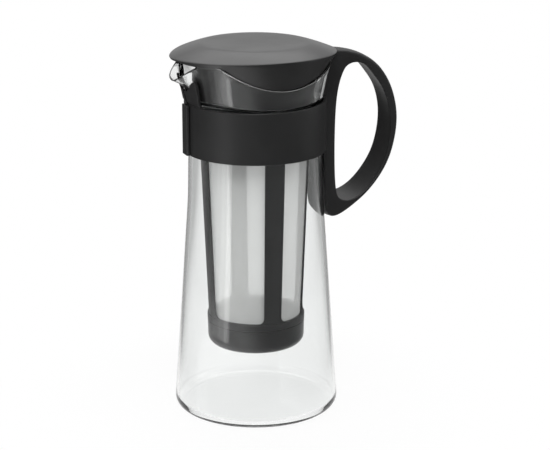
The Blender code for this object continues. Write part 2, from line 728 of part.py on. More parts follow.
def lid_outline(away, side, margin=0.0):
    """Point on the lid's outline, a slightly pointed oval, at a parameter angle."""
    c, s = math.cos(away), math.sin(away)
    x = -LID_SHIFT - (LID_HALF_LENGTH + margin) * math.copysign(abs(c) ** (2 / LID_LENGTH_POWER), c)
    y = side * (LID_HALF_WIDTH + margin) * abs(s) ** (2 / LID_WIDTH_POWER)
    return x, y


def lid_top(share, away):
    """Height of the lid's top at a share of the way from its faint ring to its edge."""
    edge = mix(LID_SIDE_Z, LID_TIP_Z, math.cos(away) ** 2)
    return mix(LID_RING_Z, edge, share ** LID_FALL)


def make_lid_space():
    """The space above the rim that the handle leaves to the lid."""
    rings = []
    for z, shrink in ((SHOULDER_Z - LID_EDGE_HEIGHT * 2, 1.0), (LID_TIP_Z - LID_EDGE_HEIGHT, 0.0),
                      (LID_RING_Z + CUT_OVERRUN, 0.0)):
        margin = LID_GAP - shrink * (LID_HALF_LENGTH - cup_flare(SHOULDER_Z) - POST_GAP)
        ring = []
        for step in range(TURN_STEPS):
            angle = 2 * math.pi * step / TURN_STEPS
            x, y = lid_outline(angle if angle <= math.pi else 2 * math.pi - angle,
                               -1 if angle <= math.pi else 1, margin)
            ring.append((x, y, z))
        rings.append(ring)
    return loft("lid_space", rings, cutter=True)


def lid_edge_height(away):
    """Height of the lid's edge, which thins out over the lip."""
    return mix(LID_TIP_EDGE_HEIGHT, LID_EDGE_HEIGHT, smooth_step(away / LID_TIP_EDGE_ANGLE))


def apron_share(away):
    """How much of the apron there is at an angle away from the lip."""
    return smooth_step((away - APRON_START_ANGLE) / (APRON_FULL_ANGLE - APRON_START_ANGLE))


def make_lid(material):
    """The top plate, its edge and apron as one shell, lofted from rings."""
    order = ["ring_in", "ring", "slope", "crease", "foot", "foot_in", "crease_in", "slope_in", "root_in"]
    rings = {name: [] for name in order}
    inner_radius = LID_RING_RADIUS * LID_INNER_RING_SHARE
    inner_z = mix(LID_CENTRE_Z, LID_RING_Z, LID_INNER_RING_SHARE ** 2)
    for step in range(TURN_STEPS):
        turn = 2 * math.pi * step / TURN_STEPS
        side = -1 if turn <= math.pi else 1
        x, y = lid_outline(turn if turn <= math.pi else 2 * math.pi - turn, side)
        radius = math.hypot(x, y)
        ux, uy = x / radius, y / radius
        away = lip_angle(math.atan2(y, x))
        edge_z = lid_top(1, away)
        short_z = edge_z - lid_edge_height(away)
        foot_z = mix(short_z, min(rim_height(away) + LID_GAP, short_z), apron_share(away))
        apron_radius = min(cup_flare(foot_z) - APRON_INSET, radius - LID_GAP)
        foot_radius = mix(radius - LID_GAP, apron_radius, apron_share(away))
        slope_radius = mix(LID_RING_RADIUS, radius, LID_SLOPE_SHARE)
        slope_z = lid_top(LID_SLOPE_SHARE, away)
        for name, r, z in (
            ("ring_in", inner_radius, inner_z),
            ("ring", LID_RING_RADIUS, LID_RING_Z),
            ("slope", slope_radius, slope_z),
            ("crease", radius, edge_z),
            ("foot", foot_radius, foot_z),
            ("foot_in", foot_radius - LID_WALL, foot_z),
            ("crease_in", radius - 2 * LID_WALL, short_z + FIT_GAP),
            ("slope_in", slope_radius, slope_z - LID_WALL),
            ("root_in", inner_radius, inner_z - LID_WALL),
        ):
            rings[name].append((ux * r, uy * r, z))
    shell = loft("lid", [rings[name] for name in order], material)
    shoulder = COLLAR_TOP_Z + FIT_GAP
    plug_outer = COLLAR_RADIUS - COLLAR_WALL - FIT_GAP
    top = LID_CENTRE_Z - LID_WALL / 2
    plug = turned("lid_plug", [
        (COLLAR_RADIUS, top), (COLLAR_RADIUS, shoulder), (plug_outer, shoulder),
        (plug_outer, LID_PLUG_FOOT_Z), (plug_outer - LID_PLUG_WALL, LID_PLUG_FOOT_Z),
        (plug_outer - LID_PLUG_WALL, top),
    ], cutter=True, closed=True)
    bake(plug)
    boolean(shell, plug, "UNION")
    return shell


# Assembly

def build():
    clear_scene()
    glass = plastic("clear_glass", (0.95, 0.97, 0.97), 0.03, transmission=1.0)
    black = plastic("black_plastic", (0.03, 0.03, 0.03), 0.42)
    clasp_black = plastic("clasp_plastic", (0.035, 0.035, 0.035), 0.45)
    lid_black = plastic("lid_plastic", (0.035, 0.035, 0.035), 0.36)
    frame_black = plastic("strainer_plastic", (0.028, 0.028, 0.028), 0.40)
    cup_black = plastic("cup_plastic", (0.026, 0.026, 0.026), 0.38)
    weave = plastic("filter_mesh", (0.62, 0.62, 0.61), 0.7, alpha=0.7)
    make_jug(glass)
    make_handle_band(black)
    make_clasp(clasp_black)
    make_frame(frame_black)
    make_mesh(weave)
    make_cup(cup_black)
    make_lid(lid_black)
    for obj in collection(PARTS).objects:
        obj.data.shade_smooth()
        obj.data.set_sharp_from_angle(angle=math.radians(35))


build()
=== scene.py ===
import math

import bmesh
import bpy
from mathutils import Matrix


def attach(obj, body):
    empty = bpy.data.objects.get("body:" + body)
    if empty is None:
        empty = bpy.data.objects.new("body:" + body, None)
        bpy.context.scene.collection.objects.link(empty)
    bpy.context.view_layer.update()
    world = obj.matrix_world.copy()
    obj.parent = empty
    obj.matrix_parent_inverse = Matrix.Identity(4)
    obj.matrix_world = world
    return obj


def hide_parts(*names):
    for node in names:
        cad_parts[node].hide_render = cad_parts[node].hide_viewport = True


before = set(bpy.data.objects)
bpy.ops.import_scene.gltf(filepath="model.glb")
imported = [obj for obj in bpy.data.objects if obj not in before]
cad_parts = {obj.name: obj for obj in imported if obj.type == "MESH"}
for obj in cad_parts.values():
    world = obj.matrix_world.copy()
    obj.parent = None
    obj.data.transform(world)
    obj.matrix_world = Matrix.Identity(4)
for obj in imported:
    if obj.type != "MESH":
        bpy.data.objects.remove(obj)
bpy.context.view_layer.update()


# The glass jug. Clear heat-proof glass, blown in a mould: a straight cone, a neck, a narrow
# waist that carries the strainer, and a flared cup. The rim is fire-polished, dips at both
# sides and is drawn out to a pouring lip. It stands on its own thick base.

GLASS_WALL, RIM_BEAD, RIM_STEPS = 0.0019, 1.15, 8
BASE_RADIUS, BASE_CORNER, BASE_THICKNESS = 0.0490, 0.0058, 0.0025
FLOOR_FILLET = 0.0045
CONE_TOP = (0.03972, 0.1280)
CONE_BLEND = 0.30
NECK_RADIUS, NECK_FOOT_Z, NECK_TOP_Z = 0.0392, 0.1530, 0.1770
WAIST_RADIUS, WAIST_LOW_Z, WAIST_HIGH_Z, WAIST_FILLET = 0.0354, 0.1812, 0.1850, 0.0024
CUP_FOOT_RADIUS, CUP_FOOT_Z, CUP_FOOT_FILLET = 0.0399, 0.1882, 0.0032
RIM_RADIUS, RIM_PLAIN_Z = 0.0434, 0.2060
SHOULDER_Z, RIM_LOW_Z, RIM_BACK_Z = 0.2114, 0.1986, 0.2108
LIP_TIP_Z, LIP_RADIUS = 0.2010, 0.0511
LIP_DROP_ANGLE, LIP_FLAT_ANGLE, LIP_EDGE_ANGLE = (math.radians(a) for a in (26, 4, 24))
SHOULDER_END_ANGLE, RIM_LOW_ANGLE, RIM_BACK_ANGLE = (math.radians(a) for a in (42, 94, 172))
SHOULDER_FALL, LIP_CURL, CUP_FOLLOW = 0.62, 5.0, 0.3
FLARE_SLOPE = (RIM_RADIUS - CUP_FOOT_RADIUS) / (RIM_PLAIN_Z - CUP_FOOT_Z)
JUG_TURNS, GLASS_SHARP = 192, math.radians(60)
ARC_STEP, RUN_STEP = math.radians(7), 0.003
WELD = 0.000004
GLASS_TINT, GLASS_SHADE, GLASS_INDEX = (0.955, 0.963, 0.960, 1), (0.90, 0.91, 0.905, 1), 1.47
WAVE_SCALE, WAVE_STRETCH, WAVE_STRENGTH, WAVE_DEPTH = 55.0, 0.35, 0.05, 0.0004
HAZE_SCALE, HAZE_LOW, HAZE_HIGH, HAZE_MOST = 140.0, 0.35, 0.75, 0.02


def mix(low, high, share):
    """The value at a share of the way from low to high."""
    return low + (high - low) * share


def smooth_step(value):
    """A share from 0 to 1, eased at both ends."""
    value = min(max(value, 0.0), 1.0)
    return value * value * (3 - 2 * value)


def cup_flare(z):
    """Outer radius of the cup's straight flare at a height."""
    return CUP_FOOT_RADIUS + FLARE_SLOPE * (z - CUP_FOOT_Z)


def rim_height(away):
    """Height of the glass rim at an angle away from the lip."""
    if away < SHOULDER_END_ANGLE:
        return mix(LIP_TIP_Z, SHOULDER_Z, smooth_step(away / LIP_DROP_ANGLE))
    if away < RIM_LOW_ANGLE:
        share = (away - SHOULDER_END_ANGLE) / (RIM_LOW_ANGLE - SHOULDER_END_ANGLE)
        return mix(SHOULDER_Z, RIM_LOW_Z, smooth_step(share ** SHOULDER_FALL))
    share = (away - RIM_LOW_ANGLE) / (RIM_BACK_ANGLE - RIM_LOW_ANGLE)
    return mix(RIM_LOW_Z, RIM_BACK_Z, smooth_step(share))


def rounded_path(corners, closed=False):
    """Points of a path through (r, z, fillet) corners, close enough together to shade well."""
    points = []
    last = len(corners) - 1
    for index, (r, z, fillet) in enumerate(corners):
        if fillet == 0 or (not closed and index in (0, last)):
            points.append((r, z))
            continue
        before, after = corners[index - 1], corners[(index + 1) % len(corners)]
        to_before = math.atan2(before[1] - z, before[0] - r)
        to_after = math.atan2(after[1] - z, after[0] - r)
        turn = (to_after - to_before + math.pi) % (2 * math.pi) - math.pi
        middle = to_before + turn / 2
        reach = fillet / math.sin(abs(turn) / 2)
        centre = (r + reach * math.cos(middle), z + reach * math.sin(middle))
        sweep = math.pi - abs(turn)
        sign = 1 if turn > 0 else -1
        steps = max(2, math.ceil(sweep / ARC_STEP), math.ceil(fillet * sweep / RUN_STEP))
        for step in range(steps + 1):
            angle = middle + math.pi - sign * sweep * (step / steps - 0.5)
            points.append((centre[0] + fillet * math.cos(angle),
                           centre[1] + fillet * math.sin(angle)))
    ends = points[1:] + points[:1] if closed else points[1:]
    fine = []
    for (r0, z0), (r1, z1) in zip(points, ends):
        pieces = max(1, math.ceil(math.hypot(r1 - r0, z1 - z0) / RUN_STEP))
        fine += [(mix(r0, r1, k / pieces), mix(z0, z1, k / pieces)) for k in range(pieces)]
    return fine if closed else fine + [points[-1]]


def offset_path(points, distance):
    """The path moved to its left side by a distance."""
    moved = []
    for index, (r, z) in enumerate(points):
        before, after = points[max(index - 1, 0)], points[min(index + 1, len(points) - 1)]
        run, rise = after[0] - before[0], after[1] - before[1]
        length = math.hypot(run, rise)
        moved.append((r - rise / length * distance, z + run / length * distance))
    return moved


def glass_outline():
    """Outer surface of the glass from the middle of its base to the plain rim."""
    brim_z = RIM_PLAIN_Z - GLASS_WALL / 2
    return rounded_path([
        (0, 0, 0), (BASE_RADIUS, 0, BASE_CORNER), (*CONE_TOP, CONE_BLEND),
        (NECK_RADIUS, NECK_FOOT_Z, 0), (NECK_RADIUS, NECK_TOP_Z, WAIST_FILLET),
        (WAIST_RADIUS, WAIST_LOW_Z, WAIST_FILLET), (WAIST_RADIUS, WAIST_HIGH_Z, WAIST_FILLET),
        (CUP_FOOT_RADIUS, CUP_FOOT_Z, CUP_FOOT_FILLET), (cup_flare(brim_z), brim_z, 0),
    ])


def jug_profile():
    """The closed section of the wall: outside up, over the rim, inside down to the floor."""
    outer = glass_outline()
    above_floor = BASE_THICKNESS + 2 * FLOOR_FILLET
    inner = [p for p in offset_path(outer[1:], GLASS_WALL) if p[1] > above_floor]
    (r0, z0), (r1, z1) = inner[0], inner[2]
    corner_r = r0 + (r1 - r0) / (z1 - z0) * (BASE_THICKNESS - z0)
    floor = rounded_path([
        (r0, z0, 0), (corner_r, BASE_THICKNESS, FLOOR_FILLET), (0, BASE_THICKNESS, 0)])
    (ro, zo), (ri, zi) = outer[-1], inner[-1]
    half, start = math.hypot(ro - ri, zo - zi) / 2 * RIM_BEAD, math.atan2(zo - zi, ro - ri)
    angles = [start + math.pi * step / RIM_STEPS for step in range(1, RIM_STEPS)]
    rim = [((ro + ri) / 2 + half * math.cos(a), (zo + zi) / 2 + half * math.sin(a)) for a in angles]
    return outer + rim + list(reversed(inner[1:])) + floor


def feed(tree, socket, value):
    """Link an output to a socket, or set the socket's own value."""
    if isinstance(value, bpy.types.NodeSocket):
        tree.links.new(value, socket)
    else:
        socket.default_value = value


def add(tree, kind, feeds=None, **settings):
    """A node with its settings and inputs; returns its first output."""
    node = tree.nodes.new(kind)
    for name, value in settings.items():
        setattr(node, name, value)
    for key, value in (feeds or {}).items():
        feed(tree, node.inputs[key], value)
    return node.outputs[0] if node.outputs else node


def maths(tree, operation, *values):
    """A Math node's output."""
    return add(tree, "ShaderNodeMath", dict(enumerate(values)), operation=operation)


def ranged(tree, value, low, high, to_low, to_high, kind="SMOOTHSTEP"):
    """A value carried from one range to another, clamped, smooth at both ends by default."""
    feeds = {0: value, 1: low, 2: high, 3: to_low, 4: to_high}
    return add(tree, "ShaderNodeMapRange", feeds, interpolation_type=kind)


def geometry_tree(name, inputs):
    """An empty Geometry Nodes tree with named inputs, given as (name, socket type)."""
    tree = bpy.data.node_groups.new(name, "GeometryNodeTree")
    tree.interface.new_socket("Geometry", in_out="INPUT", socket_type="NodeSocketGeometry")
    for label, kind in inputs:
        tree.interface.new_socket(label, in_out="INPUT", socket_type=kind)
    tree.interface.new_socket("Geometry", in_out="OUTPUT", socket_type="NodeSocketGeometry")
    given = tree.nodes.new("NodeGroupInput").outputs
    return tree, given


def end_tree(tree, geometry, material):
    """Finish a tree with Realize Instances and its material."""
    solid = add(tree, "GeometryNodeRealizeInstances", {0: geometry})
    finished = add(tree, "GeometryNodeSetMaterial", {"Geometry": solid, "Material": material})
    feed(tree, tree.nodes.new("NodeGroupOutput").inputs[0], finished)


def new_object(name, mesh):
    """An object with a mesh, linked into the scene."""
    obj = bpy.data.objects.new(name, mesh)
    bpy.context.scene.collection.objects.link(obj)
    return obj


def bake(obj):
    """Turn what the modifiers make into the object's own plain mesh."""
    graph = bpy.context.evaluated_depsgraph_get()
    mesh = bpy.data.meshes.new_from_object(obj.evaluated_get(graph))
    obj.modifiers.clear()
    obj.data = mesh
    return obj


def run_tree(obj, tree, values):
    """Run a tree on an object with values for its named inputs, and bake the result."""
    modifier = obj.modifiers.new(tree.name, "NODES")
    modifier.node_group = tree
    for item in tree.interface.items_tree:
        if item.in_out == "INPUT" and item.name in values:
            modifier[item.identifier] = values[item.name]
    return bake(obj)


def tidy_mesh(obj, sharp=math.radians(35)):
    """Weld doubles, turn faces outwards and shade smooth between the sharp edges."""
    work = bmesh.new()
    work.from_mesh(obj.data)
    bmesh.ops.remove_doubles(work, verts=work.verts, dist=WELD)
    bmesh.ops.dissolve_degenerate(work, edges=work.edges, dist=WELD / 10)
    bmesh.ops.recalc_face_normals(work, faces=work.faces)
    work.to_mesh(obj.data)
    work.free()
    obj.data.shade_smooth()
    obj.data.set_sharp_from_angle(angle=sharp)
    return obj


def dress(obj, body, node, material=None):
    """Give a piece its material and body, and hide the CAD node that it stands in for."""
    if material is not None:
        obj.data.materials.clear()
        obj.data.materials.append(material)
    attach(obj, body)
    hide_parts(node)


def new_material(name):
    """A material with its node tree, its Principled shader and Object coordinates."""
    material = bpy.data.materials.new(name)
    material.use_nodes = True
    tree = material.node_tree
    place = tree.nodes.new("ShaderNodeTexCoord").outputs["Object"]
    return material, tree, tree.nodes["Principled BSDF"], place


def clear_glass():
    """Clear glass with waves drawn out along the jug's height, that lets light through to shadows."""
    material, tree, shader, place = new_material("clear_glass")
    shader.inputs["Base Color"].default_value = GLASS_TINT
    shader.inputs["Transmission Weight"].default_value = 1.0
    shader.inputs["IOR"].default_value = GLASS_INDEX
    stretched = add(tree, "ShaderNodeMapping", {"Vector": place, "Scale": (1, 1, WAVE_STRETCH)})
    waves = add(tree, "ShaderNodeTexNoise",
                {"Vector": stretched, "Scale": WAVE_SCALE, "Detail": 1.0})
    bump = add(tree, "ShaderNodeBump",
               {"Strength": WAVE_STRENGTH, "Distance": WAVE_DEPTH, "Height": waves})
    feed(tree, shader.inputs["Normal"], bump)
    haze = add(tree, "ShaderNodeTexNoise", {"Vector": place, "Scale": HAZE_SCALE, "Detail": 3.0})
    feed(tree, shader.inputs["Roughness"],
         ranged(tree, haze, HAZE_LOW, HAZE_HIGH, 0.0, HAZE_MOST, "LINEAR"))
    shadow = tree.nodes.new("ShaderNodeLightPath").outputs["Is Shadow Ray"]
    passed = add(tree, "ShaderNodeBsdfTransparent", {"Color": GLASS_SHADE})
    either = add(tree, "ShaderNodeMixShader", {0: shadow, 1: shader.outputs[0], 2: passed})
    feed(tree, tree.nodes["Material Output"].inputs["Surface"], either)
    return material


def jug_tree():
    """Turns a wall section about Z, then dips its rim and draws out its lip by rule."""
    number = "NodeSocketFloat"
    tree, given = geometry_tree("turned_jug", [
        ("Turns", "NodeSocketInt"), ("Waist Height", number), ("Plain Rim Height", number),
        ("Lip Tip Height", number), ("Shoulder Height", number), ("Side Rim Height", number),
        ("Back Rim Height", number), ("Lip Reach", number), ("Flare Slope", number),
        ("Glass", "NodeSocketMaterial"),
    ])
    size = tree.nodes.new("GeometryNodeAttributeDomainSize")
    feed(tree, size.inputs[0], given["Geometry"])
    rows = size.outputs["Point Count"]
    columns = maths(tree, "ADD", given["Turns"], 1.0)
    grid = add(tree, "GeometryNodeMeshGrid", {"Vertices X": columns, "Vertices Y": rows})
    index = add(tree, "GeometryNodeInputIndex")
    column = add(tree, "FunctionNodeIntegerMath", {0: index, 1: rows}, operation="DIVIDE")
    row = add(tree, "FunctionNodeIntegerMath", {0: index, 1: rows}, operation="MODULO")
    point = add(tree, "GeometryNodeInputPosition")
    sampled = add(tree, "GeometryNodeSampleIndex",
                  {"Geometry": given["Geometry"], "Value": point, "Index": row},
                  data_type="FLOAT_VECTOR")
    parts = tree.nodes.new("ShaderNodeSeparateXYZ")
    feed(tree, parts.inputs[0], sampled)
    radius, z = parts.outputs["X"], parts.outputs["Z"]
    angle = maths(tree, "MULTIPLY", maths(tree, "DIVIDE", column, given["Turns"]), 2 * math.pi)
    away = maths(tree, "ABSOLUTE", maths(tree, "SUBTRACT", angle, math.pi))

    lip = ranged(tree, away, 0.0, LIP_DROP_ANGLE, given["Lip Tip Height"], given["Shoulder Height"])
    past_shoulder = ranged(tree, away, SHOULDER_END_ANGLE, RIM_LOW_ANGLE, 0.0, 1.0, "LINEAR")
    fall = maths(tree, "POWER", past_shoulder, SHOULDER_FALL)
    dip = maths(tree, "SUBTRACT", given["Side Rim Height"], given["Shoulder Height"])
    side = ranged(tree, fall, 0.0, 1.0, 0.0, dip)
    lift = maths(tree, "SUBTRACT", given["Back Rim Height"], given["Side Rim Height"])
    back = ranged(tree, away, RIM_LOW_ANGLE, RIM_BACK_ANGLE, 0.0, lift)
    rim = maths(tree, "ADD", maths(tree, "ADD", lip, side), back)

    cup_height = maths(tree, "SUBTRACT", given["Plain Rim Height"], given["Waist Height"])
    over_waist = maths(tree, "SUBTRACT", z, given["Waist Height"])
    share = maths(tree, "MAXIMUM", maths(tree, "DIVIDE", over_waist, cup_height), 0.0)
    rise = maths(tree, "MULTIPLY", share, maths(tree, "SUBTRACT", rim, given["Plain Rim Height"]))
    follow = ranged(tree, share, 0.0, CUP_FOLLOW, 0.0, 1.0)
    flare = maths(tree, "MULTIPLY", maths(tree, "MULTIPLY", follow, given["Flare Slope"]), rise)
    spread = ranged(tree, away, LIP_FLAT_ANGLE, LIP_EDGE_ANGLE, given["Lip Reach"], 0.0)
    curl = maths(tree, "POWER", maths(tree, "MINIMUM", share, 1.0), LIP_CURL)
    push = maths(tree, "MULTIPLY", spread, curl)
    new_radius = maths(tree, "ADD", maths(tree, "ADD", radius, flare), push)
    place = add(tree, "ShaderNodeCombineXYZ", {
        "X": maths(tree, "MULTIPLY", new_radius, maths(tree, "COSINE", angle)),
        "Y": maths(tree, "MULTIPLY", new_radius, maths(tree, "SINE", angle)),
        "Z": maths(tree, "ADD", z, rise),
    })
    moved = add(tree, "GeometryNodeSetPosition", {"Geometry": grid, "Position": place})
    closed = add(tree, "GeometryNodeMergeByDistance", {"Geometry": moved, "Distance": WELD})
    end_tree(tree, closed, given["Glass"])
    return tree


section = bpy.data.meshes.new("jug_section")
profile = jug_profile()
section.from_pydata([(r, 0, z) for r, z in profile], [(i, i + 1) for i in range(len(profile) - 1)], [])
jug = new_object("jug_glass", section)
run_tree(jug, jug_tree(), {
    "Turns": JUG_TURNS, "Waist Height": WAIST_HIGH_Z, "Plain Rim Height": RIM_PLAIN_Z,
    "Lip Tip Height": LIP_TIP_Z, "Shoulder Height": SHOULDER_Z, "Side Rim Height": RIM_LOW_Z,
    "Back Rim Height": RIM_BACK_Z, "Lip Reach": LIP_RADIUS - cup_flare(LIP_TIP_Z),
    "Flare Slope": FLARE_SLOPE, "Glass": clear_glass(),
})
tidy_mesh(jug, GLASS_SHARP)
dress(jug, "jug", "glass_jug")


# The neck band. Black satin polypropylene, moulded in one with its loop handle, two ears
# beside the lip and a dovetail rail on its split front. It springs round the glass neck.

FIT = 0.0003
BAND_INNER, BAND_OUTER = 0.0395, 0.04135
BAND_FOOT_Z, BAND_TOP_Z, BAND_EDGE = 0.1568, 0.1866, 0.0004
BAND_SPLIT = 0.0024
EAR_TOP_Z, EAR_WALL, EAR_EDGE, EAR_ROOT, EAR_ROWS = 0.2020, 0.0018, 0.0005, 0.8, 36
EAR_TIP_ANGLE, EAR_TIP_HALF_ANGLE, EAR_OUTER_ANGLE, EAR_INNER_ANGLE = (
    math.radians(a) for a in (18.4, 1.9, 20.4, 1.2))
EAR_NOTCH, EAR_ROUND, EAR_TIP_FLAT = 0.50, 0.12, 0.06
EAR_INNER_CURVE, EAR_OUTER_CURVE = 0.5, 0.8
RAIL_NECK, RAIL_HEAD, RAIL_DEPTH, RAIL_MARGIN = 0.0022, 0.0027, 0.0009, 0.0004
HANDLE_ROOT, HANDLE_REACH = 0.0400, 0.0475
HANDLE_FOOT_Z, HANDLE_TOP_Z = 0.1128, 0.2130
HANDLE_TOP_HALF, HANDLE_FOOT_HALF = 0.0066, 0.0136
HANDLE_CROWN, HANDLE_DISH, HANDLE_EDGE = 0.0012, 0.0006, 0.0010
# Shares of the reach and of the height, for the hole's edge and then the outer edge.
HANDLE_STATIONS = [
    ((0.252, 0.862), (0.000, 0.870)), ((0.325, 0.905), (0.060, 1.000)),
    ((0.430, 0.918), (0.370, 0.991)), ((0.548, 0.901), (0.585, 0.951)),
    ((0.664, 0.835), (0.771, 0.886)), ((0.798, 0.742), (0.926, 0.762)),
    ((0.881, 0.581), (1.000, 0.583)), ((0.838, 0.397), (0.930, 0.397)),
    ((0.722, 0.272), (0.796, 0.263)), ((0.536, 0.164), (0.588, 0.146)),
    ((0.340, 0.112), (0.352, 0.064)), ((0.190, 0.118), (0.020, 0.000)),
    ((0.126, 0.190), (-0.040, 0.180)), ((0.128, 0.470), (-0.040, 0.470)),
    ((0.167, 0.731), (-0.040, 0.731)),
]
HANDLE_STEPS, HANDLE_EVEN = 9, 4
TURNS = 160
FOOT_GAP, POST_GAP, SPACE_OVERRUN = 0.0004, 0.0012, 0.004
BAND_BLACK = (0.0180, 0.0180, 0.0183)
TONE_SCALE, TONE_RANGE, GLOSS_SPREAD = 38.0, (0.88, 1.12), 0.03
GRAIN_SCALE, GRAIN_DEPTH = 2400.0, 0.00002
NOISE_LOW, NOISE_HIGH = 0.3, 0.7
# The lid's outline, which the handle leaves room for.
LID_HALF_LENGTH, LID_HALF_WIDTH, LID_SHIFT = 0.0497, 0.0456, 0.0010
LID_LENGTH_POWER, LID_WIDTH_POWER = 2.0, 1.65
LID_TIP_Z, LID_SIDE_Z, LID_RING_Z, LID_EDGE = 0.2137, 0.2157, 0.2198, 0.0024
LID_GAP = 0.0005


def loft(name, rings, looped=False, capped=True):
    """A closed form through rings of equally many points."""
    mesh = bpy.data.meshes.new(name)
    work = bmesh.new()
    rows = [[work.verts.new(point) for point in ring] for ring in rings]
    count = len(rings[0])
    for row in range(len(rows) if looped else len(rows) - 1):
        low, high = rows[row], rows[(row + 1) % len(rows)]
        for i in range(count):
            j = (i + 1) % count
            work.faces.new((low[i], low[j], high[j], high[i]))
    if capped and not looped:
        work.faces.new(list(reversed(rows[0])))
        work.faces.new(rows[-1])
    work.to_mesh(mesh)
    work.free()
    return tidy_mesh(new_object(name, mesh))


def turned(name, section, closed=False, turns=TURNS):
    """A form turned about Z from (r, z) points; an open section starts and ends on the axis."""
    rings = []
    for r, z in section:
        r = max(r, WELD / 20)
        angles = [2 * math.pi * step / turns for step in range(turns)]
        rings.append([(r * math.cos(a), r * math.sin(a), z) for a in angles])
    return loft(name, rings, looped=closed, capped=False)


def prism(name, outline, low_z, high_z):
    """An upright form with one outline from foot to top."""
    return loft(name, [[(x, y, z) for x, y in outline] for z in (low_z, high_z)])


def combine(obj, other, operation):
    """Join or cut with an exact Boolean, and drop the other object."""
    modifier = obj.modifiers.new(operation.title(), "BOOLEAN")
    modifier.operation, modifier.solver, modifier.object = operation, "EXACT", other
    bake(obj)
    bpy.data.objects.remove(other, do_unlink=True)
    return obj


def smooth_loop(points, steps):
    """Points of a closed smooth curve through the given points."""
    curve = []
    for index in range(len(points)):
        a, b, c, d = (points[(index + k) % len(points)] for k in (-1, 0, 1, 2))
        for t in (step / steps for step in range(steps)):
            curve.append(tuple(
                0.5 * (2 * q + (r - p) * t + (2 * p - 5 * q + 4 * r - s) * t * t
                       + (3 * q - p - 3 * r + s) * t ** 3)
                for p, q, r, s in zip(a, b, c, d)))
    return curve


def soft_edge(half, edge, flat_steps=6, arc_steps=5):
    """Pairs of (offset, drop) across a face whose two edges are rounded by a radius."""
    right = []
    for step in range(arc_steps + 1):
        turn = math.pi / 2 * step / arc_steps
        right.append((half - edge + edge * math.sin(turn), edge * (1 - math.cos(turn))))
    flat = [(mix(-half + edge, half - edge, k / flat_steps), 0.0) for k in range(1, flat_steps)]
    return [(-y, drop) for y, drop in reversed(right)] + flat + right


def handle_section(hole_x, hole_z, edge_x, edge_z):
    """One ring across the loop, crowned outside, slightly dished inside, with soft edges."""
    run, rise = edge_x - hole_x, edge_z - hole_z
    length = math.hypot(run, rise)
    run, rise = run / length, rise / length
    share = ((hole_z + edge_z) / 2 - HANDLE_FOOT_Z) / (HANDLE_TOP_Z - HANDLE_FOOT_Z)
    half = mix(HANDLE_FOOT_HALF, HANDLE_TOP_HALF, min(max(share, 0), 1))
    across = soft_edge(half, HANDLE_EDGE)
    ring = []
    for y, drop in across:
        depth = HANDLE_CROWN * (y / half) ** 2 + drop
        ring.append((edge_x - run * depth, y, edge_z - rise * depth))
    for y, drop in reversed(across):
        depth = HANDLE_DISH * (1 - (y / half) ** 2) + drop
        ring.append((hole_x + run * depth, y, hole_z + rise * depth))
    return ring


def handle_loop():
    """The whole loop: a smooth curve through the stations, evened out, and a ring at each point."""
    stations = []
    for shares in HANDLE_STATIONS:
        stations.append(tuple(
            value for reach, height in shares
            for value in (HANDLE_ROOT + HANDLE_REACH * reach, mix(HANDLE_FOOT_Z, HANDLE_TOP_Z, height))))
    curve = smooth_loop(stations, HANDLE_STEPS)
    nearby = range(-HANDLE_EVEN, HANDLE_EVEN + 1)
    even = [[sum(curve[(i + k) % len(curve)][n] for k in nearby) / len(nearby) for n in range(4)]
            for i in range(len(curve))]
    return loft("handle_loop", [handle_section(*s) for s in even], looped=True)


def lid_outline(turn, margin=0.0):
    """Point on the lid's outline, a slightly pointed oval, at a parameter angle from the lip."""
    c, s = math.cos(turn), math.sin(turn)
    x = -LID_SHIFT - (LID_HALF_LENGTH + margin) * math.copysign(abs(c) ** (2 / LID_LENGTH_POWER), c)
    return x, -(LID_HALF_WIDTH + margin) * math.copysign(abs(s) ** (2 / LID_WIDTH_POWER), s)


def lid_space():
    """The room above the rim that the handle leaves to the lid."""
    rings = []
    shrink = LID_HALF_LENGTH - cup_flare(SHOULDER_Z) - POST_GAP
    for z, margin in ((SHOULDER_Z - LID_EDGE * 2, LID_GAP - shrink), (LID_TIP_Z - LID_EDGE, LID_GAP),
                      (LID_RING_Z + SPACE_OVERRUN, LID_GAP)):
        rings.append([(*lid_outline(2 * math.pi * step / TURNS, margin), z) for step in range(TURNS)])
    return loft("lid_space", rings)


def jug_space():
    """The room that the handle leaves to the glass, with its clearance."""
    low = HANDLE_FOOT_Z - SPACE_OVERRUN
    cone_r = mix(BASE_RADIUS, CONE_TOP[0], (low - BASE_CORNER) / (CONE_TOP[1] - BASE_CORNER))
    wall = [(cone_r, low)] + [p for p in glass_outline() if low < p[1] < BAND_FOOT_Z]
    top = SHOULDER_Z + LID_GAP
    return turned("jug_space", [
        (0, top), (cup_flare(SHOULDER_Z) + POST_GAP, top),
        (cup_flare(CUP_FOOT_Z) + POST_GAP, CUP_FOOT_Z),
        (BAND_INNER, BAND_TOP_Z), (BAND_INNER, BAND_FOOT_Z),
    ] + [(r + FOOT_GAP, z) for r, z in reversed(wall)] + [(0, low)])


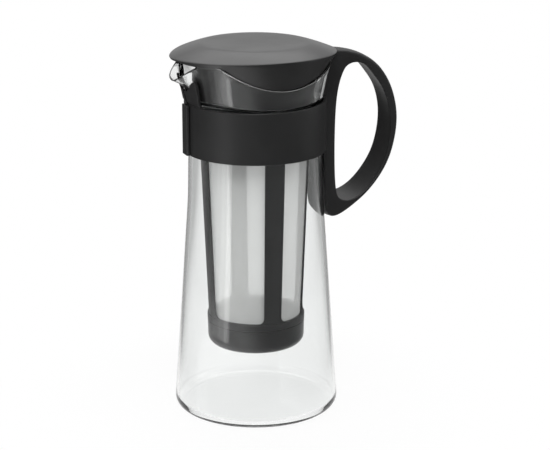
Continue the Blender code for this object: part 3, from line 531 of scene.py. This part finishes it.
def ear(side):
    """A fin beside the lip that clasps the glass, from inside the band up to a rounded tip."""
    rings = []
    start_z = mix(BAND_FOOT_Z, BAND_TOP_Z, EAR_ROOT)
    for row in range(EAR_ROWS + 1):
        z = mix(start_z, EAR_TOP_Z, row / EAR_ROWS)
        share = max((z - BAND_TOP_Z) / (EAR_TOP_Z - BAND_TOP_Z), 0)
        past_round = max(share - 1 + EAR_ROUND, 0) / EAR_ROUND
        round_off = math.sqrt(max(1 - past_round ** 2, EAR_TIP_FLAT))
        past_notch = max(share - EAR_NOTCH, 0) / (1 - EAR_NOTCH)
        tip_half = EAR_TIP_HALF_ANGLE * round_off
        low = mix(EAR_INNER_ANGLE, EAR_TIP_ANGLE - tip_half, past_notch ** EAR_INNER_CURVE)
        high = mix(EAR_OUTER_ANGLE, EAR_TIP_ANGLE + tip_half, share ** EAR_OUTER_CURVE)
        inside, outside = [], []
        half = (high - low) / 2
        for turn, drop in soft_edge(half, min(EAR_EDGE / BAND_OUTER, half)):
            away = low + half + turn
            angle = math.pi - side * away
            glass_share = max((z - WAIST_HIGH_Z) / (rim_height(away) - WAIST_HIGH_Z), 0)
            spread = 1 - smooth_step((away - LIP_FLAT_ANGLE) / (LIP_EDGE_ANGLE - LIP_FLAT_ANGLE))
            push = (LIP_RADIUS - cup_flare(LIP_TIP_Z)) * spread * min(glass_share, 1) ** LIP_CURL
            clear = cup_flare(z) + push + FIT if z > CUP_FOOT_Z else BAND_INNER
            inner = max(BAND_INNER + (FIT if share == 0 else 0), clear)
            outer = max(inner + EAR_WALL, BAND_OUTER) if share > 0 else BAND_OUTER - FIT
            outer -= drop * BAND_OUTER if share > 0 else 0
            inside.append((inner * math.cos(angle), inner * math.sin(angle), z))
            outside.append((outer * math.cos(angle), outer * math.sin(angle), z))
        rings.append(inside + list(reversed(outside)))
    return loft("ear", rings)


def colour_ramp(tree, value, low, dark, high, light):
    """A colour that goes from dark to light as a value goes from low to high."""
    colour = add(tree, "ShaderNodeValToRGB", {"Fac": value})
    ends = colour.node.color_ramp.elements
    ends[0].position, ends[0].color = low, dark
    ends[1].position, ends[1].color = high, light
    return colour


def satin_plastic(name, colour, roughness, grain=0.5, shine=0.4):
    """Black moulded plastic: a little uneven in tone and gloss, with a fine spark-eroded grain."""
    material, tree, shader, place = new_material(name)
    flow = add(tree, "ShaderNodeTexNoise", {"Vector": place, "Scale": TONE_SCALE, "Detail": 2.0})
    dark, light = ((*(c * k for c in colour), 1) for k in TONE_RANGE)
    feed(tree, shader.inputs["Base Color"],
         colour_ramp(tree, flow, NOISE_LOW, dark, NOISE_HIGH, light))
    shader.inputs["Specular IOR Level"].default_value = shine
    fine = add(tree, "ShaderNodeTexNoise", {"Vector": place, "Scale": GRAIN_SCALE, "Detail": 2.0})
    feed(tree, shader.inputs["Roughness"],
         ranged(tree, flow, NOISE_LOW, NOISE_HIGH,
                roughness - GLOSS_SPREAD, roughness + GLOSS_SPREAD, "LINEAR"))
    bump = add(tree, "ShaderNodeBump",
               {"Strength": grain, "Distance": GRAIN_DEPTH, "Height": fine})
    feed(tree, shader.inputs["Normal"], bump)
    return material


handle = handle_loop()
combine(handle, lid_space(), "DIFFERENCE")
combine(handle, jug_space(), "DIFFERENCE")
band = turned("neck_band", rounded_path([
    (BAND_OUTER, BAND_TOP_Z, BAND_EDGE), (BAND_OUTER, BAND_FOOT_Z, BAND_EDGE),
    (BAND_INNER, BAND_FOOT_Z, BAND_EDGE), (BAND_INNER, BAND_TOP_Z, BAND_EDGE),
], closed=True), closed=True)
combine(band, handle, "UNION")
for side in (1, -1):
    combine(band, ear(side), "UNION")
rail = [(-BAND_OUTER + FIT, RAIL_NECK), (-BAND_OUTER, RAIL_NECK),
        (-BAND_OUTER - RAIL_DEPTH, RAIL_HEAD)]
combine(band, prism("rail", rail + [(x, -y) for x, y in reversed(rail)],
                    BAND_FOOT_Z + RAIL_MARGIN, BAND_TOP_Z - RAIL_MARGIN), "UNION")
slit = [(-2 * BAND_OUTER, -BAND_SPLIT / 2), (0, -BAND_SPLIT / 2), (0, BAND_SPLIT / 2),
        (-2 * BAND_OUTER, BAND_SPLIT / 2)]
combine(band, prism("slit", slit, BAND_FOOT_Z - SPACE_OVERRUN, EAR_TOP_Z + SPACE_OVERRUN),
        "DIFFERENCE")
tidy_mesh(band)
dress(band, "jug", "handle_band",
      satin_plastic("band_plastic", BAND_BLACK, roughness=0.45, grain=0.5, shine=0.3))


# The clasp. A small black channel, moulded on its own, that slides down over the dovetail
# rail below the lip and pulls the two ends of the band together.

CLASP_HALF, CLASP_DEPTH, CLASP_ROUND, CLASP_STEPS = 0.0041, 0.0021, 0.0007, 6
CLASP_BEVEL, CLASP_BEVEL_STEPS, CLASP_SHARP = 0.00025, 3, math.radians(50)
CLASP_BLACK = (0.018, 0.018, 0.0183)

back, front = -BAND_OUTER - FIT, -BAND_OUTER - CLASP_DEPTH
slot_x = -BAND_OUTER - RAIL_DEPTH - FIT
corner = [(front + CLASP_ROUND * (1 - math.cos(a)), CLASP_HALF - CLASP_ROUND * (1 - math.sin(a)))
          for a in (math.pi / 2 * (1 - k / CLASP_STEPS) for k in range(CLASP_STEPS + 1))]
half_outline = [(slot_x, RAIL_HEAD + FIT), (back, RAIL_NECK + FIT), (back, CLASP_HALF)] + corner
clasp = prism("clasp_channel", half_outline + [(x, -y) for x, y in reversed(half_outline)],
              BAND_FOOT_Z + FIT, BAND_TOP_Z - FIT)
soften = clasp.modifiers.new("Soften", "BEVEL")
soften.width, soften.segments = CLASP_BEVEL, CLASP_BEVEL_STEPS
soften.limit_method, soften.angle_limit = "ANGLE", CLASP_SHARP
tidy_mesh(bake(clasp))
dress(clasp, "clasp", "band_clasp",
      satin_plastic("clasp_plastic", CLASP_BLACK, roughness=0.42))


# The strainer's frame. Black moulded plastic: a collar that hangs in the glass waist, four
# ribs with a tall window between each two, and a proud ring at the foot that takes the cup.

COLLAR_RADIUS, COLLAR_TOP_Z, COLLAR_TAPER_Z, COLLAR_WALL = 0.0346, 0.2090, 0.2000, 0.0018
SEAT_RADIUS, SEAT_Z = 0.0332, 0.1834
SHANK_RADIUS, SHANK_Z = 0.0322, 0.1540
SHANK_FOOT_RADIUS, SHANK_FOOT_Z = 0.0283, 0.0584
FRAME_WALL = 0.0017
WINDOW_TOP_Z, WINDOW_FOOT_Z, WINDOW_CORNER, WINDOW_NEAR = 0.1620, 0.0578, 0.0040, 0.33
RIB_HALF_ANGLE, RIB_COUNT = math.radians(10.8), 4
RING_RADIUS, RING_FOOT_Z, RING_EDGE, RING_STEP_EDGE = 0.0289, 0.0538, 0.0003, 0.0002
COLLAR_EDGE, COLLAR_BLEND, SHANK_BLEND = 0.0005, 0.004, 0.02
STRAINER_BLACK = (0.008, 0.008, 0.0082)


def shank_radius(z):
    """Outer radius of the strainer's straight taper at a height."""
    return mix(SHANK_FOOT_RADIUS, SHANK_RADIUS, (z - SHANK_FOOT_Z) / (SHANK_Z - SHANK_FOOT_Z))


def window_cutter():
    """A radial block with the outline of one window, standing on +X."""
    spread = math.sin(math.pi / RIB_COUNT - RIB_HALF_ANGLE)
    low_half, top_half = (shank_radius(z) * spread for z in (WINDOW_FOOT_Z, WINDOW_TOP_Z))
    right = rounded_path([
        (0, WINDOW_FOOT_Z, 0), (low_half, WINDOW_FOOT_Z, WINDOW_CORNER),
        (top_half, WINDOW_TOP_Z, WINDOW_CORNER), (0, WINDOW_TOP_Z, 0)])
    outline = right + [(-x, z) for x, z in reversed(right[1:-1])]
    near, far = shank_radius(WINDOW_FOOT_Z) * WINDOW_NEAR, COLLAR_RADIUS + SPACE_OVERRUN
    return loft("window_cutter", [[(reach, x, z) for x, z in outline] for reach in (near, far)])


def frame_tree():
    """Cuts one window outline out of a turned tube, repeated evenly round it."""
    tree, given = geometry_tree("windowed_tube", [
        ("Windows", "NodeSocketInt"), ("First Turn", "NodeSocketFloat"),
        ("Cutter", "NodeSocketObject"), ("Plastic", "NodeSocketMaterial")])
    points = add(tree, "GeometryNodePoints", {"Count": given["Windows"]})
    step = maths(tree, "DIVIDE", add(tree, "GeometryNodeInputIndex"), given["Windows"])
    turn = maths(tree, "ADD", maths(tree, "MULTIPLY", step, 2 * math.pi), given["First Turn"])
    cutter = tree.nodes.new("GeometryNodeObjectInfo")
    feed(tree, cutter.inputs["Object"], given["Cutter"])
    placed = add(tree, "GeometryNodeInstanceOnPoints", {
        "Points": points, "Instance": cutter.outputs["Geometry"],
        "Rotation": add(tree, "ShaderNodeCombineXYZ", {"Z": turn})})
    cut = tree.nodes.new("GeometryNodeMeshBoolean")
    cut.operation, cut.solver = "DIFFERENCE", "EXACT"
    feed(tree, cut.inputs["Mesh 1"], given["Geometry"])
    feed(tree, cut.inputs["Mesh 2"], add(tree, "GeometryNodeRealizeInstances", {0: placed}))
    end_tree(tree, cut.outputs["Mesh"], given["Plastic"])
    return tree


ring_inner = SHANK_FOOT_RADIUS - FRAME_WALL
cage = turned("strainer_cage", rounded_path([
    (COLLAR_RADIUS, COLLAR_TOP_Z, COLLAR_EDGE), (COLLAR_RADIUS, COLLAR_TAPER_Z, COLLAR_BLEND),
    (SEAT_RADIUS, SEAT_Z, SHANK_BLEND), (SHANK_RADIUS, SHANK_Z, SHANK_BLEND),
    (shank_radius(WINDOW_FOOT_Z), WINDOW_FOOT_Z, RING_STEP_EDGE),
    (RING_RADIUS, WINDOW_FOOT_Z - RING_EDGE, RING_EDGE), (RING_RADIUS, RING_FOOT_Z, RING_EDGE),
    (ring_inner, RING_FOOT_Z, RING_EDGE), (ring_inner, SHANK_FOOT_Z, 0),
    (SHANK_RADIUS - FRAME_WALL, SHANK_Z, 0), (SEAT_RADIUS - COLLAR_WALL, SEAT_Z, 0),
    (COLLAR_RADIUS - COLLAR_WALL, COLLAR_TAPER_Z, 0),
    (COLLAR_RADIUS - COLLAR_WALL, COLLAR_TOP_Z, COLLAR_EDGE),
], closed=True), closed=True)
cutter = window_cutter()
run_tree(cage, frame_tree(), {
    "Windows": RIB_COUNT, "First Turn": math.pi / RIB_COUNT, "Cutter": cutter,
    "Plastic": satin_plastic("strainer_plastic", STRAINER_BLACK,
                             roughness=0.38, grain=0.2, shine=0.25)})
bpy.data.objects.remove(cutter, do_unlink=True)
tidy_mesh(cage)
dress(cage, "strainer", "strainer_frame")


# The mesh sleeve. A fine pale polyester weave, welded into a slim tube and moulded in behind
# the ribs. Light passes through it, so the far side and its ribs show faintly.

MESH_WALL, MESH_LAP = 0.0005, 0.0032
MESH_TOP_Z, MESH_FOOT_Z = WINDOW_TOP_Z + MESH_LAP, SHANK_FOOT_Z - MESH_LAP / 2
MESH_ROWS = 40
THREAD_PITCH, THREAD_DIP, THREAD_DEPTH, THREAD_STRENGTH = 0.00034, 0.75, 0.0001, 0.35
UNEVEN_SCALE, UNEVEN_SHARE = 60.0, 0.12
# Painted shade and painted light of the weave: colours for its gaps and dips, and for its raised
# threads.
WEAVE_SHADED, WEAVE_LIT, WEAVE_THIN, WEAVE_FULL = 0.55, 1.05, 0.6, 1.0
MESH_SHADED, MESH_LIT = (0.88, 0.88, 0.87, 1), (0.95, 0.95, 0.945, 1)
MESH_LEAST_SOLID, MESH_MOST_SOLID, MESH_ROUGHNESS = 0.30, 0.38, 0.65


def woven_mesh():
    """Plain weave by the sleeve's own UV map, in threads; each thread swells as it passes over."""
    material, tree, shader, place = new_material("filter_mesh")
    split = tree.nodes.new("ShaderNodeSeparateXYZ")
    feed(tree, split.inputs[0], add(tree, "ShaderNodeUVMap", uv_map="threads"))
    threads = []
    for name, other in (("X", "Y"), ("Y", "X")):
        across, along_it = (maths(tree, "SINE", maths(tree, "MULTIPLY", split.outputs[n], math.pi))
                            for n in (name, other))
        ridge = maths(tree, "ABSOLUTE", across)
        swell = ranged(tree, along_it, -1.0, 1.0, THREAD_DIP, 1.0, "LINEAR")
        threads.append(maths(tree, "MULTIPLY", ridge, swell))
    weave = maths(tree, "MAXIMUM", *threads)
    uneven = add(tree, "ShaderNodeTexNoise", {"Vector": place, "Scale": UNEVEN_SCALE, "Detail": 2.0})
    height = maths(tree, "ADD", weave, maths(tree, "MULTIPLY", uneven, UNEVEN_SHARE))
    # Painted shade and painted light: the colour is darker in the gaps and where a thread dips under,
    # and lighter on the raised threads, with random uneven tone on top.
    feed(tree, shader.inputs["Base Color"],
         colour_ramp(tree, height, WEAVE_SHADED, MESH_SHADED, WEAVE_LIT, MESH_LIT))
    feed(tree, shader.inputs["Alpha"],
         ranged(tree, weave, WEAVE_THIN, WEAVE_FULL, MESH_LEAST_SOLID, MESH_MOST_SOLID, "LINEAR"))
    bump = add(tree, "ShaderNodeBump",
               {"Strength": THREAD_STRENGTH, "Distance": THREAD_DEPTH, "Height": weave})
    feed(tree, shader.inputs["Normal"], bump)
    shader.inputs["Roughness"].default_value = MESH_ROUGHNESS
    return material


def mesh_face(z, depth):
    """Radius of the sleeve at a height, at a depth under its outer face."""
    return shank_radius(min(max(z, SHANK_FOOT_Z), SHANK_Z)) - FRAME_WALL - FIT - depth


heights = [mix(MESH_TOP_Z, MESH_FOOT_Z, k / MESH_ROWS) for k in range(MESH_ROWS + 1)]
sleeve = turned("strainer_weave", [(mesh_face(z, 0), z) for z in heights]
                + [(mesh_face(z, MESH_WALL), z) for z in reversed(heights)], closed=True)
threads = sleeve.data.uv_layers.new(name="threads")
around = 2 * math.pi * SHANK_RADIUS / THREAD_PITCH
for face in sleeve.data.polygons:
    middle = math.atan2(face.center.y, face.center.x)
    for loop in face.loop_indices:
        x, y, z = sleeve.data.vertices[sleeve.data.loops[loop].vertex_index].co
        turn = middle + (math.atan2(y, x) - middle + math.pi) % (2 * math.pi) - math.pi
        threads.data[loop].uv = (turn / (2 * math.pi) * around, z / THREAD_PITCH)
dress(sleeve, "strainer", "strainer_mesh", woven_mesh())


# The strainer's cup. Black moulded plastic; its spigot pushes into the frame's foot ring,
# so the sleeve can be emptied and rinsed from below.

CUP_RADIUS, CUP_BOTTOM_Z, CUP_CORNER, CUP_WALL = 0.0288, 0.0390, 0.0054, 0.0016
SPIGOT_RADIUS, SPIGOT_HEIGHT, CUP_EDGE = ring_inner - FIT, 0.0024, 0.0003
SPIGOT_TOP_Z = RING_FOOT_Z + SPIGOT_HEIGHT
CUP_BLACK = (0.006, 0.006, 0.0062)

cup = turned("strainer_foot_cup", rounded_path([
    (0, CUP_BOTTOM_Z + CUP_WALL, 0),
    (SPIGOT_RADIUS - CUP_WALL, CUP_BOTTOM_Z + CUP_WALL, CUP_CORNER - CUP_WALL),
    (SPIGOT_RADIUS - CUP_WALL, SPIGOT_TOP_Z, CUP_EDGE), (SPIGOT_RADIUS, SPIGOT_TOP_Z, CUP_EDGE),
    (SPIGOT_RADIUS, RING_FOOT_Z - FIT, 0), (CUP_RADIUS, RING_FOOT_Z - FIT, CUP_EDGE),
    (CUP_RADIUS - FIT, CUP_BOTTOM_Z, CUP_CORNER), (0, CUP_BOTTOM_Z, 0),
]))
dress(cup, "cup", "strainer_cup",
      satin_plastic("cup_plastic", CUP_BLACK, roughness=0.30, grain=0.2, shine=0.25))


# The lid. Black satin plastic with a fine grain: an oval top, faintly dished inside a soft
# ring, whose edge runs to a point over the lip and drops to an apron that follows the glass
# rim at the sides. Its plug pushes into the strainer's collar.

LID_CENTRE_Z, LID_RING_RADIUS = 0.2194, 0.0310
LID_FALL, LID_WALL, APRON_INSET = 1.25, 0.0020, 0.0012
LID_CREASE, CREASE_ROOM, CREASE_STEPS, CREASE_SHARE = 0.00025, 2.2, 4, 0.965
LID_TIP_EDGE, LID_TIP_EDGE_ANGLE = 0.0009, math.radians(34)
APRON_START_ANGLE, APRON_FULL_ANGLE = math.radians(43), math.radians(56)
PLUG_FOOT_Z, PLUG_WALL = 0.2010, 0.0018
LID_TURNS, LID_SHARP = 240, math.radians(40)
DISH_STEPS, TOP_STEPS, SIDE_STEPS, UNDER_STEPS = 8, 14, 6, 7
LID_BLACK = (0.020, 0.020, 0.0202)


def lid_top(share, away):
    """Height of the lid's top at a share of the way from its ring to its edge."""
    return mix(LID_RING_Z, mix(LID_SIDE_Z, LID_TIP_Z, math.cos(away) ** 2), share ** LID_FALL)


def lid_column(turn):
    """The section of the lid at one turn: across the top, round the crease, down and back in."""
    x, y = lid_outline(turn)
    radius = math.hypot(x, y)
    away = abs(math.atan2(y, x) % (2 * math.pi) - math.pi)
    edge_z = lid_top(1, away)
    short_z = edge_z - mix(LID_TIP_EDGE, LID_EDGE, smooth_step(away / LID_TIP_EDGE_ANGLE))
    apron = smooth_step((away - APRON_START_ANGLE) / (APRON_FULL_ANGLE - APRON_START_ANGLE))
    foot_z = mix(short_z, min(rim_height(away) + LID_GAP, short_z), apron)
    foot_r = mix(radius - LID_GAP, min(cup_flare(foot_z) - APRON_INSET, radius - LID_GAP), apron)
    dish = [(LID_RING_RADIUS * k / DISH_STEPS, mix(LID_CENTRE_Z, LID_RING_Z, (k / DISH_STEPS) ** 2))
            for k in range(DISH_STEPS + 1)]
    column = [(max(r, WELD / 20), z) for r, z in dish]
    shares = [k / TOP_STEPS for k in range(1, TOP_STEPS)] + [CREASE_SHARE]
    column += [(mix(LID_RING_RADIUS, radius, share), lid_top(share, away)) for share in shares]
    crease = min(LID_CREASE, (edge_z - foot_z) / CREASE_ROOM)
    slope = math.atan2(lid_top(CREASE_SHARE, away) - edge_z,
                       (radius - LID_RING_RADIUS) * (1 - CREASE_SHARE))
    for step in range(CREASE_STEPS + 1):
        lean = mix(math.pi / 2 - slope, 0, step / CREASE_STEPS)
        column.append((radius - crease + crease * math.cos(lean),
                       edge_z - crease + crease * math.sin(lean)))
    down = [k / SIDE_STEPS for k in range(1, SIDE_STEPS + 1)]
    column += [(mix(radius, foot_r, share), mix(edge_z - crease, foot_z, share)) for share in down]
    inner_edge = radius - 2 * LID_WALL
    column += [(foot_r - LID_WALL, foot_z), (inner_edge, short_z + FIT)]
    reach = (inner_edge - LID_RING_RADIUS) / (radius - LID_RING_RADIUS)
    column += [(mix(LID_RING_RADIUS, radius, share), lid_top(share, away) - LID_WALL)
               for share in (reach * k / UNDER_STEPS for k in range(UNDER_STEPS - 1, 0, -1))]
    column += [(r, z - LID_WALL) for r, z in reversed(dish[::2])]
    return [(r * x / radius, r * y / radius, z) for r, z in column]


columns = [lid_column(2 * math.pi * (step + 0.5) / LID_TURNS) for step in range(LID_TURNS)]
lid = loft("lid_plate", list(zip(*columns)), capped=False)
plug_outer = COLLAR_RADIUS - COLLAR_WALL - FIT
plug_top = LID_CENTRE_Z - LID_WALL / 2
plug = turned("plug", rounded_path([
    (COLLAR_RADIUS, plug_top, 0), (COLLAR_RADIUS, COLLAR_TOP_Z + FIT, 0),
    (plug_outer, COLLAR_TOP_Z + FIT, 0), (plug_outer, PLUG_FOOT_Z, FIT),
    (plug_outer - PLUG_WALL, PLUG_FOOT_Z, FIT), (plug_outer - PLUG_WALL, plug_top, 0),
], closed=True), closed=True)
combine(lid, plug, "UNION")
tidy_mesh(lid, LID_SHARP)
dress(lid, "lid", "lid",
      satin_plastic("lid_plastic", LID_BLACK, roughness=0.32, grain=0.7, shine=0.5))


# The photographer's table, light and camera. The table is a white sweep, lit to white behind
# the jug and dim in front and at the sides, so clear glass keeps dark edges and black plastic
# stays black. Soft boxes at the left leave a streak down the glass, crisp on its right side.

CAMERA_TURN, CAMERA_TILT = math.radians(-21), math.radians(16.16)
CAMERA_PLACE, CAMERA_LENS, FILM_WIDTH, CAMERA_NEAR = (-0.3700, -0.9957, 0.4182), 122.72, 36, 0.01
LOOK = (-math.sin(CAMERA_TURN), math.cos(CAMERA_TURN), 0)
SIDEWAYS = (math.cos(CAMERA_TURN), math.sin(CAMERA_TURN), 0)
SWEEP_SIZE, SWEEP_DROP = 12.0, 0.0002
# How bright gloss and glass see the paper: dim in front and beside, with the view's own spread.
DIM, FRONT_FADE, SIDE_FADE, VIEW_SPREAD = 0.08, (-0.30, -0.02), (0.053, 0.15), 0.045
PAPER_IN_GLASS, SKY_IN_GLASS = 0.52, 0.55
# How much the paper glows: less under the jug, so its shadow stays, and not at the soft boxes.
SHADOW_FADE, SHADOW_SHARE = (0.06, 0.16), 0.90
BOX_FADE, GLOW_SHARE = (0.10, 0.26), 0.95
PAPER_SCALE, PAPER_TONES = 300.0, (0.80, 0.82)
# The studio's wall and ceiling, by direction: each span of directions and its brightness.
BACK_SPAN, BACK_LIGHT = (0.30, 0.88), (0.06, 0.66)
SIDE_SPAN, SIDE_SHARES = (0.25, 0.60), (1.0, 0.12)
TOP_SPAN, TOP_LIGHT = (0.50, 0.90), (0.10, 0.90)
# The left soft boxes: each is moved outwards with its width, so their light fades to the left.
BOX_DISTANCE, BOX_HEIGHT, BOX_EDGE = 0.28, 0.45, math.radians(-36)
BOX_WIDTHS, BOX_OUTWARD, BOX_POWER = (0.17, 0.12, 0.08, 0.04), 0.65, 0.065
PANEL_TILT = math.radians(52)
BOX_FOOT = (BOX_DISTANCE * math.cos(1.5 * math.pi + CAMERA_TURN + BOX_EDGE),
            BOX_DISTANCE * math.sin(1.5 * math.pi + CAMERA_TURN + BOX_EDGE), 0)


def along(tree, vector, direction):
    """How far a vector goes in a direction."""
    dot = add(tree, "ShaderNodeVectorMath", {0: vector, 1: direction}, operation="DOT_PRODUCT")
    return dot.node.outputs["Value"]


def distance_to(tree, vector, point):
    """How far a vector's end lies from a point."""
    gap = add(tree, "ShaderNodeVectorMath", {0: vector, 1: point}, operation="DISTANCE")
    return gap.node.outputs["Value"]


def white_sweep():
    """Paper that is white to the camera, and bright only behind the jug to gloss and glass."""
    material = bpy.data.materials.new("white_sweep")
    material.use_nodes = True
    tree = material.node_tree
    tree.nodes.clear()
    path = tree.nodes.new("ShaderNodeLightPath").outputs
    place = tree.nodes.new("ShaderNodeTexCoord").outputs["Object"]
    gloss = maths(tree, "MAXIMUM", path["Is Glossy Ray"], path["Is Transmission Ray"])
    behind = along(tree, place, LOOK)
    depth = ranged(tree, behind, *FRONT_FADE, DIM, 1.0)
    beside = maths(tree, "ABSOLUTE", along(tree, place, SIDEWAYS))
    past_jug = maths(tree, "SUBTRACT", beside, maths(tree, "MULTIPLY", behind, VIEW_SPREAD))
    bright = maths(tree, "MULTIPLY", depth, ranged(tree, past_jug, *SIDE_FADE, 1.0, DIM))
    through = maths(tree, "MULTIPLY", path["Is Transmission Ray"], PAPER_IN_GLASS)
    strength = maths(tree, "MAXIMUM", maths(tree, "MAXIMUM", bright, through), path["Is Camera Ray"])
    shown = ranged(tree, distance_to(tree, place, (0, 0, 0)), *SHADOW_FADE, SHADOW_SHARE, 1.0)
    clear = ranged(tree, distance_to(tree, place, BOX_FOOT), *BOX_FADE, 0.0, GLOW_SHARE)
    share = maths(tree, "MAXIMUM", maths(tree, "MULTIPLY", path["Is Camera Ray"], shown),
                  maths(tree, "MULTIPLY", gloss, clear))
    paper = add(tree, "ShaderNodeTexNoise", {"Vector": place, "Scale": PAPER_SCALE, "Detail": 2.0})
    tone = ranged(tree, paper, NOISE_LOW, NOISE_HIGH, *PAPER_TONES, "LINEAR")
    lit = add(tree, "ShaderNodeBsdfDiffuse", {"Color": tone})
    glow = add(tree, "ShaderNodeEmission", {"Color": (1, 1, 1, 1), "Strength": strength})
    both = add(tree, "ShaderNodeMixShader", {"Fac": share, 1: lit, 2: glow})
    feed(tree, tree.nodes.new("ShaderNodeOutputMaterial").inputs["Surface"], both)
    return material


sweep_mesh = bpy.data.meshes.new("sweep")
half = SWEEP_SIZE / 2
corners = [(-half, -half, 0), (half, -half, 0), (half, half, 0), (-half, half, 0)]
sweep_mesh.from_pydata(corners, [], [(0, 1, 2, 3)])
sweep_mesh.materials.append(white_sweep())
sweep = new_object("sweep", sweep_mesh)
sweep.location.z = -SWEEP_DROP

world = bpy.data.worlds.new("studio")
bpy.context.scene.world = world
world.use_nodes = True
sky = world.node_tree
sky.nodes.clear()
sky_path = sky.nodes.new("ShaderNodeLightPath").outputs
direction = sky.nodes.new("ShaderNodeTexCoord").outputs["Generated"]
beside = maths(sky, "ABSOLUTE", along(sky, direction, SIDEWAYS))
behind = maths(sky, "MULTIPLY", ranged(sky, along(sky, direction, LOOK), *BACK_SPAN, *BACK_LIGHT),
               ranged(sky, beside, *SIDE_SPAN, *SIDE_SHARES))
above = ranged(sky, along(sky, direction, (0, 0, 1)), *TOP_SPAN, *TOP_LIGHT)
in_glass = maths(sky, "MULTIPLY", sky_path["Is Transmission Ray"], SKY_IN_GLASS)
seen = maths(sky, "MAXIMUM", sky_path["Is Camera Ray"], in_glass)
level = maths(sky, "MAXIMUM", maths(sky, "MAXIMUM", behind, above), seen)
backdrop = add(sky, "ShaderNodeBackground", {"Color": (1, 1, 1, 1), "Strength": level})
feed(sky, sky.nodes.new("ShaderNodeOutputWorld").inputs["Surface"], backdrop)


def soft_box(name, turn, distance, height, width, tall, power, tilt=0.0):
    """A soft box beside the jug, at a turn from the camera's direction (left is minus)."""
    light = bpy.data.lights.new(name, "AREA")
    light.shape, light.size, light.size_y, light.energy = "RECTANGLE", width, tall, power
    lamp = bpy.data.objects.new(name, light)
    bpy.context.scene.collection.objects.link(lamp)
    angle = 1.5 * math.pi + CAMERA_TURN + turn
    lamp.location = (distance * math.cos(angle), distance * math.sin(angle), height)
    lamp.rotation_euler = (math.pi / 2 - tilt, 0, angle + math.pi / 2)


for width in BOX_WIDTHS:
    soft_box("left_box", BOX_EDGE - BOX_OUTWARD * width / BOX_DISTANCE, BOX_DISTANCE, BOX_HEIGHT / 2,
             width, BOX_HEIGHT, BOX_POWER)
soft_box("right_box", math.radians(95), distance=0.90, height=0.40, width=0.40, tall=0.60, power=1.4)
soft_box("top_panel", math.pi, distance=0.75, height=1.15, width=0.90, tall=0.80, power=3.6,
         tilt=PANEL_TILT)
soft_box("front_fill", math.radians(8), distance=0.85, height=1.30, width=0.90, tall=0.90,
         power=12.0, tilt=PANEL_TILT)

camera_data = bpy.data.cameras.new("camera")
camera_data.lens, camera_data.sensor_width = CAMERA_LENS, FILM_WIDTH
camera_data.clip_start = CAMERA_NEAR
camera = bpy.data.objects.new("camera", camera_data)
bpy.context.scene.collection.objects.link(camera)
camera.location = CAMERA_PLACE
camera.rotation_euler = (math.pi / 2 - CAMERA_TILT, 0, CAMERA_TURN)
bpy.context.scene.camera = camera
bpy.context.scene.view_settings.view_transform = "Standard"
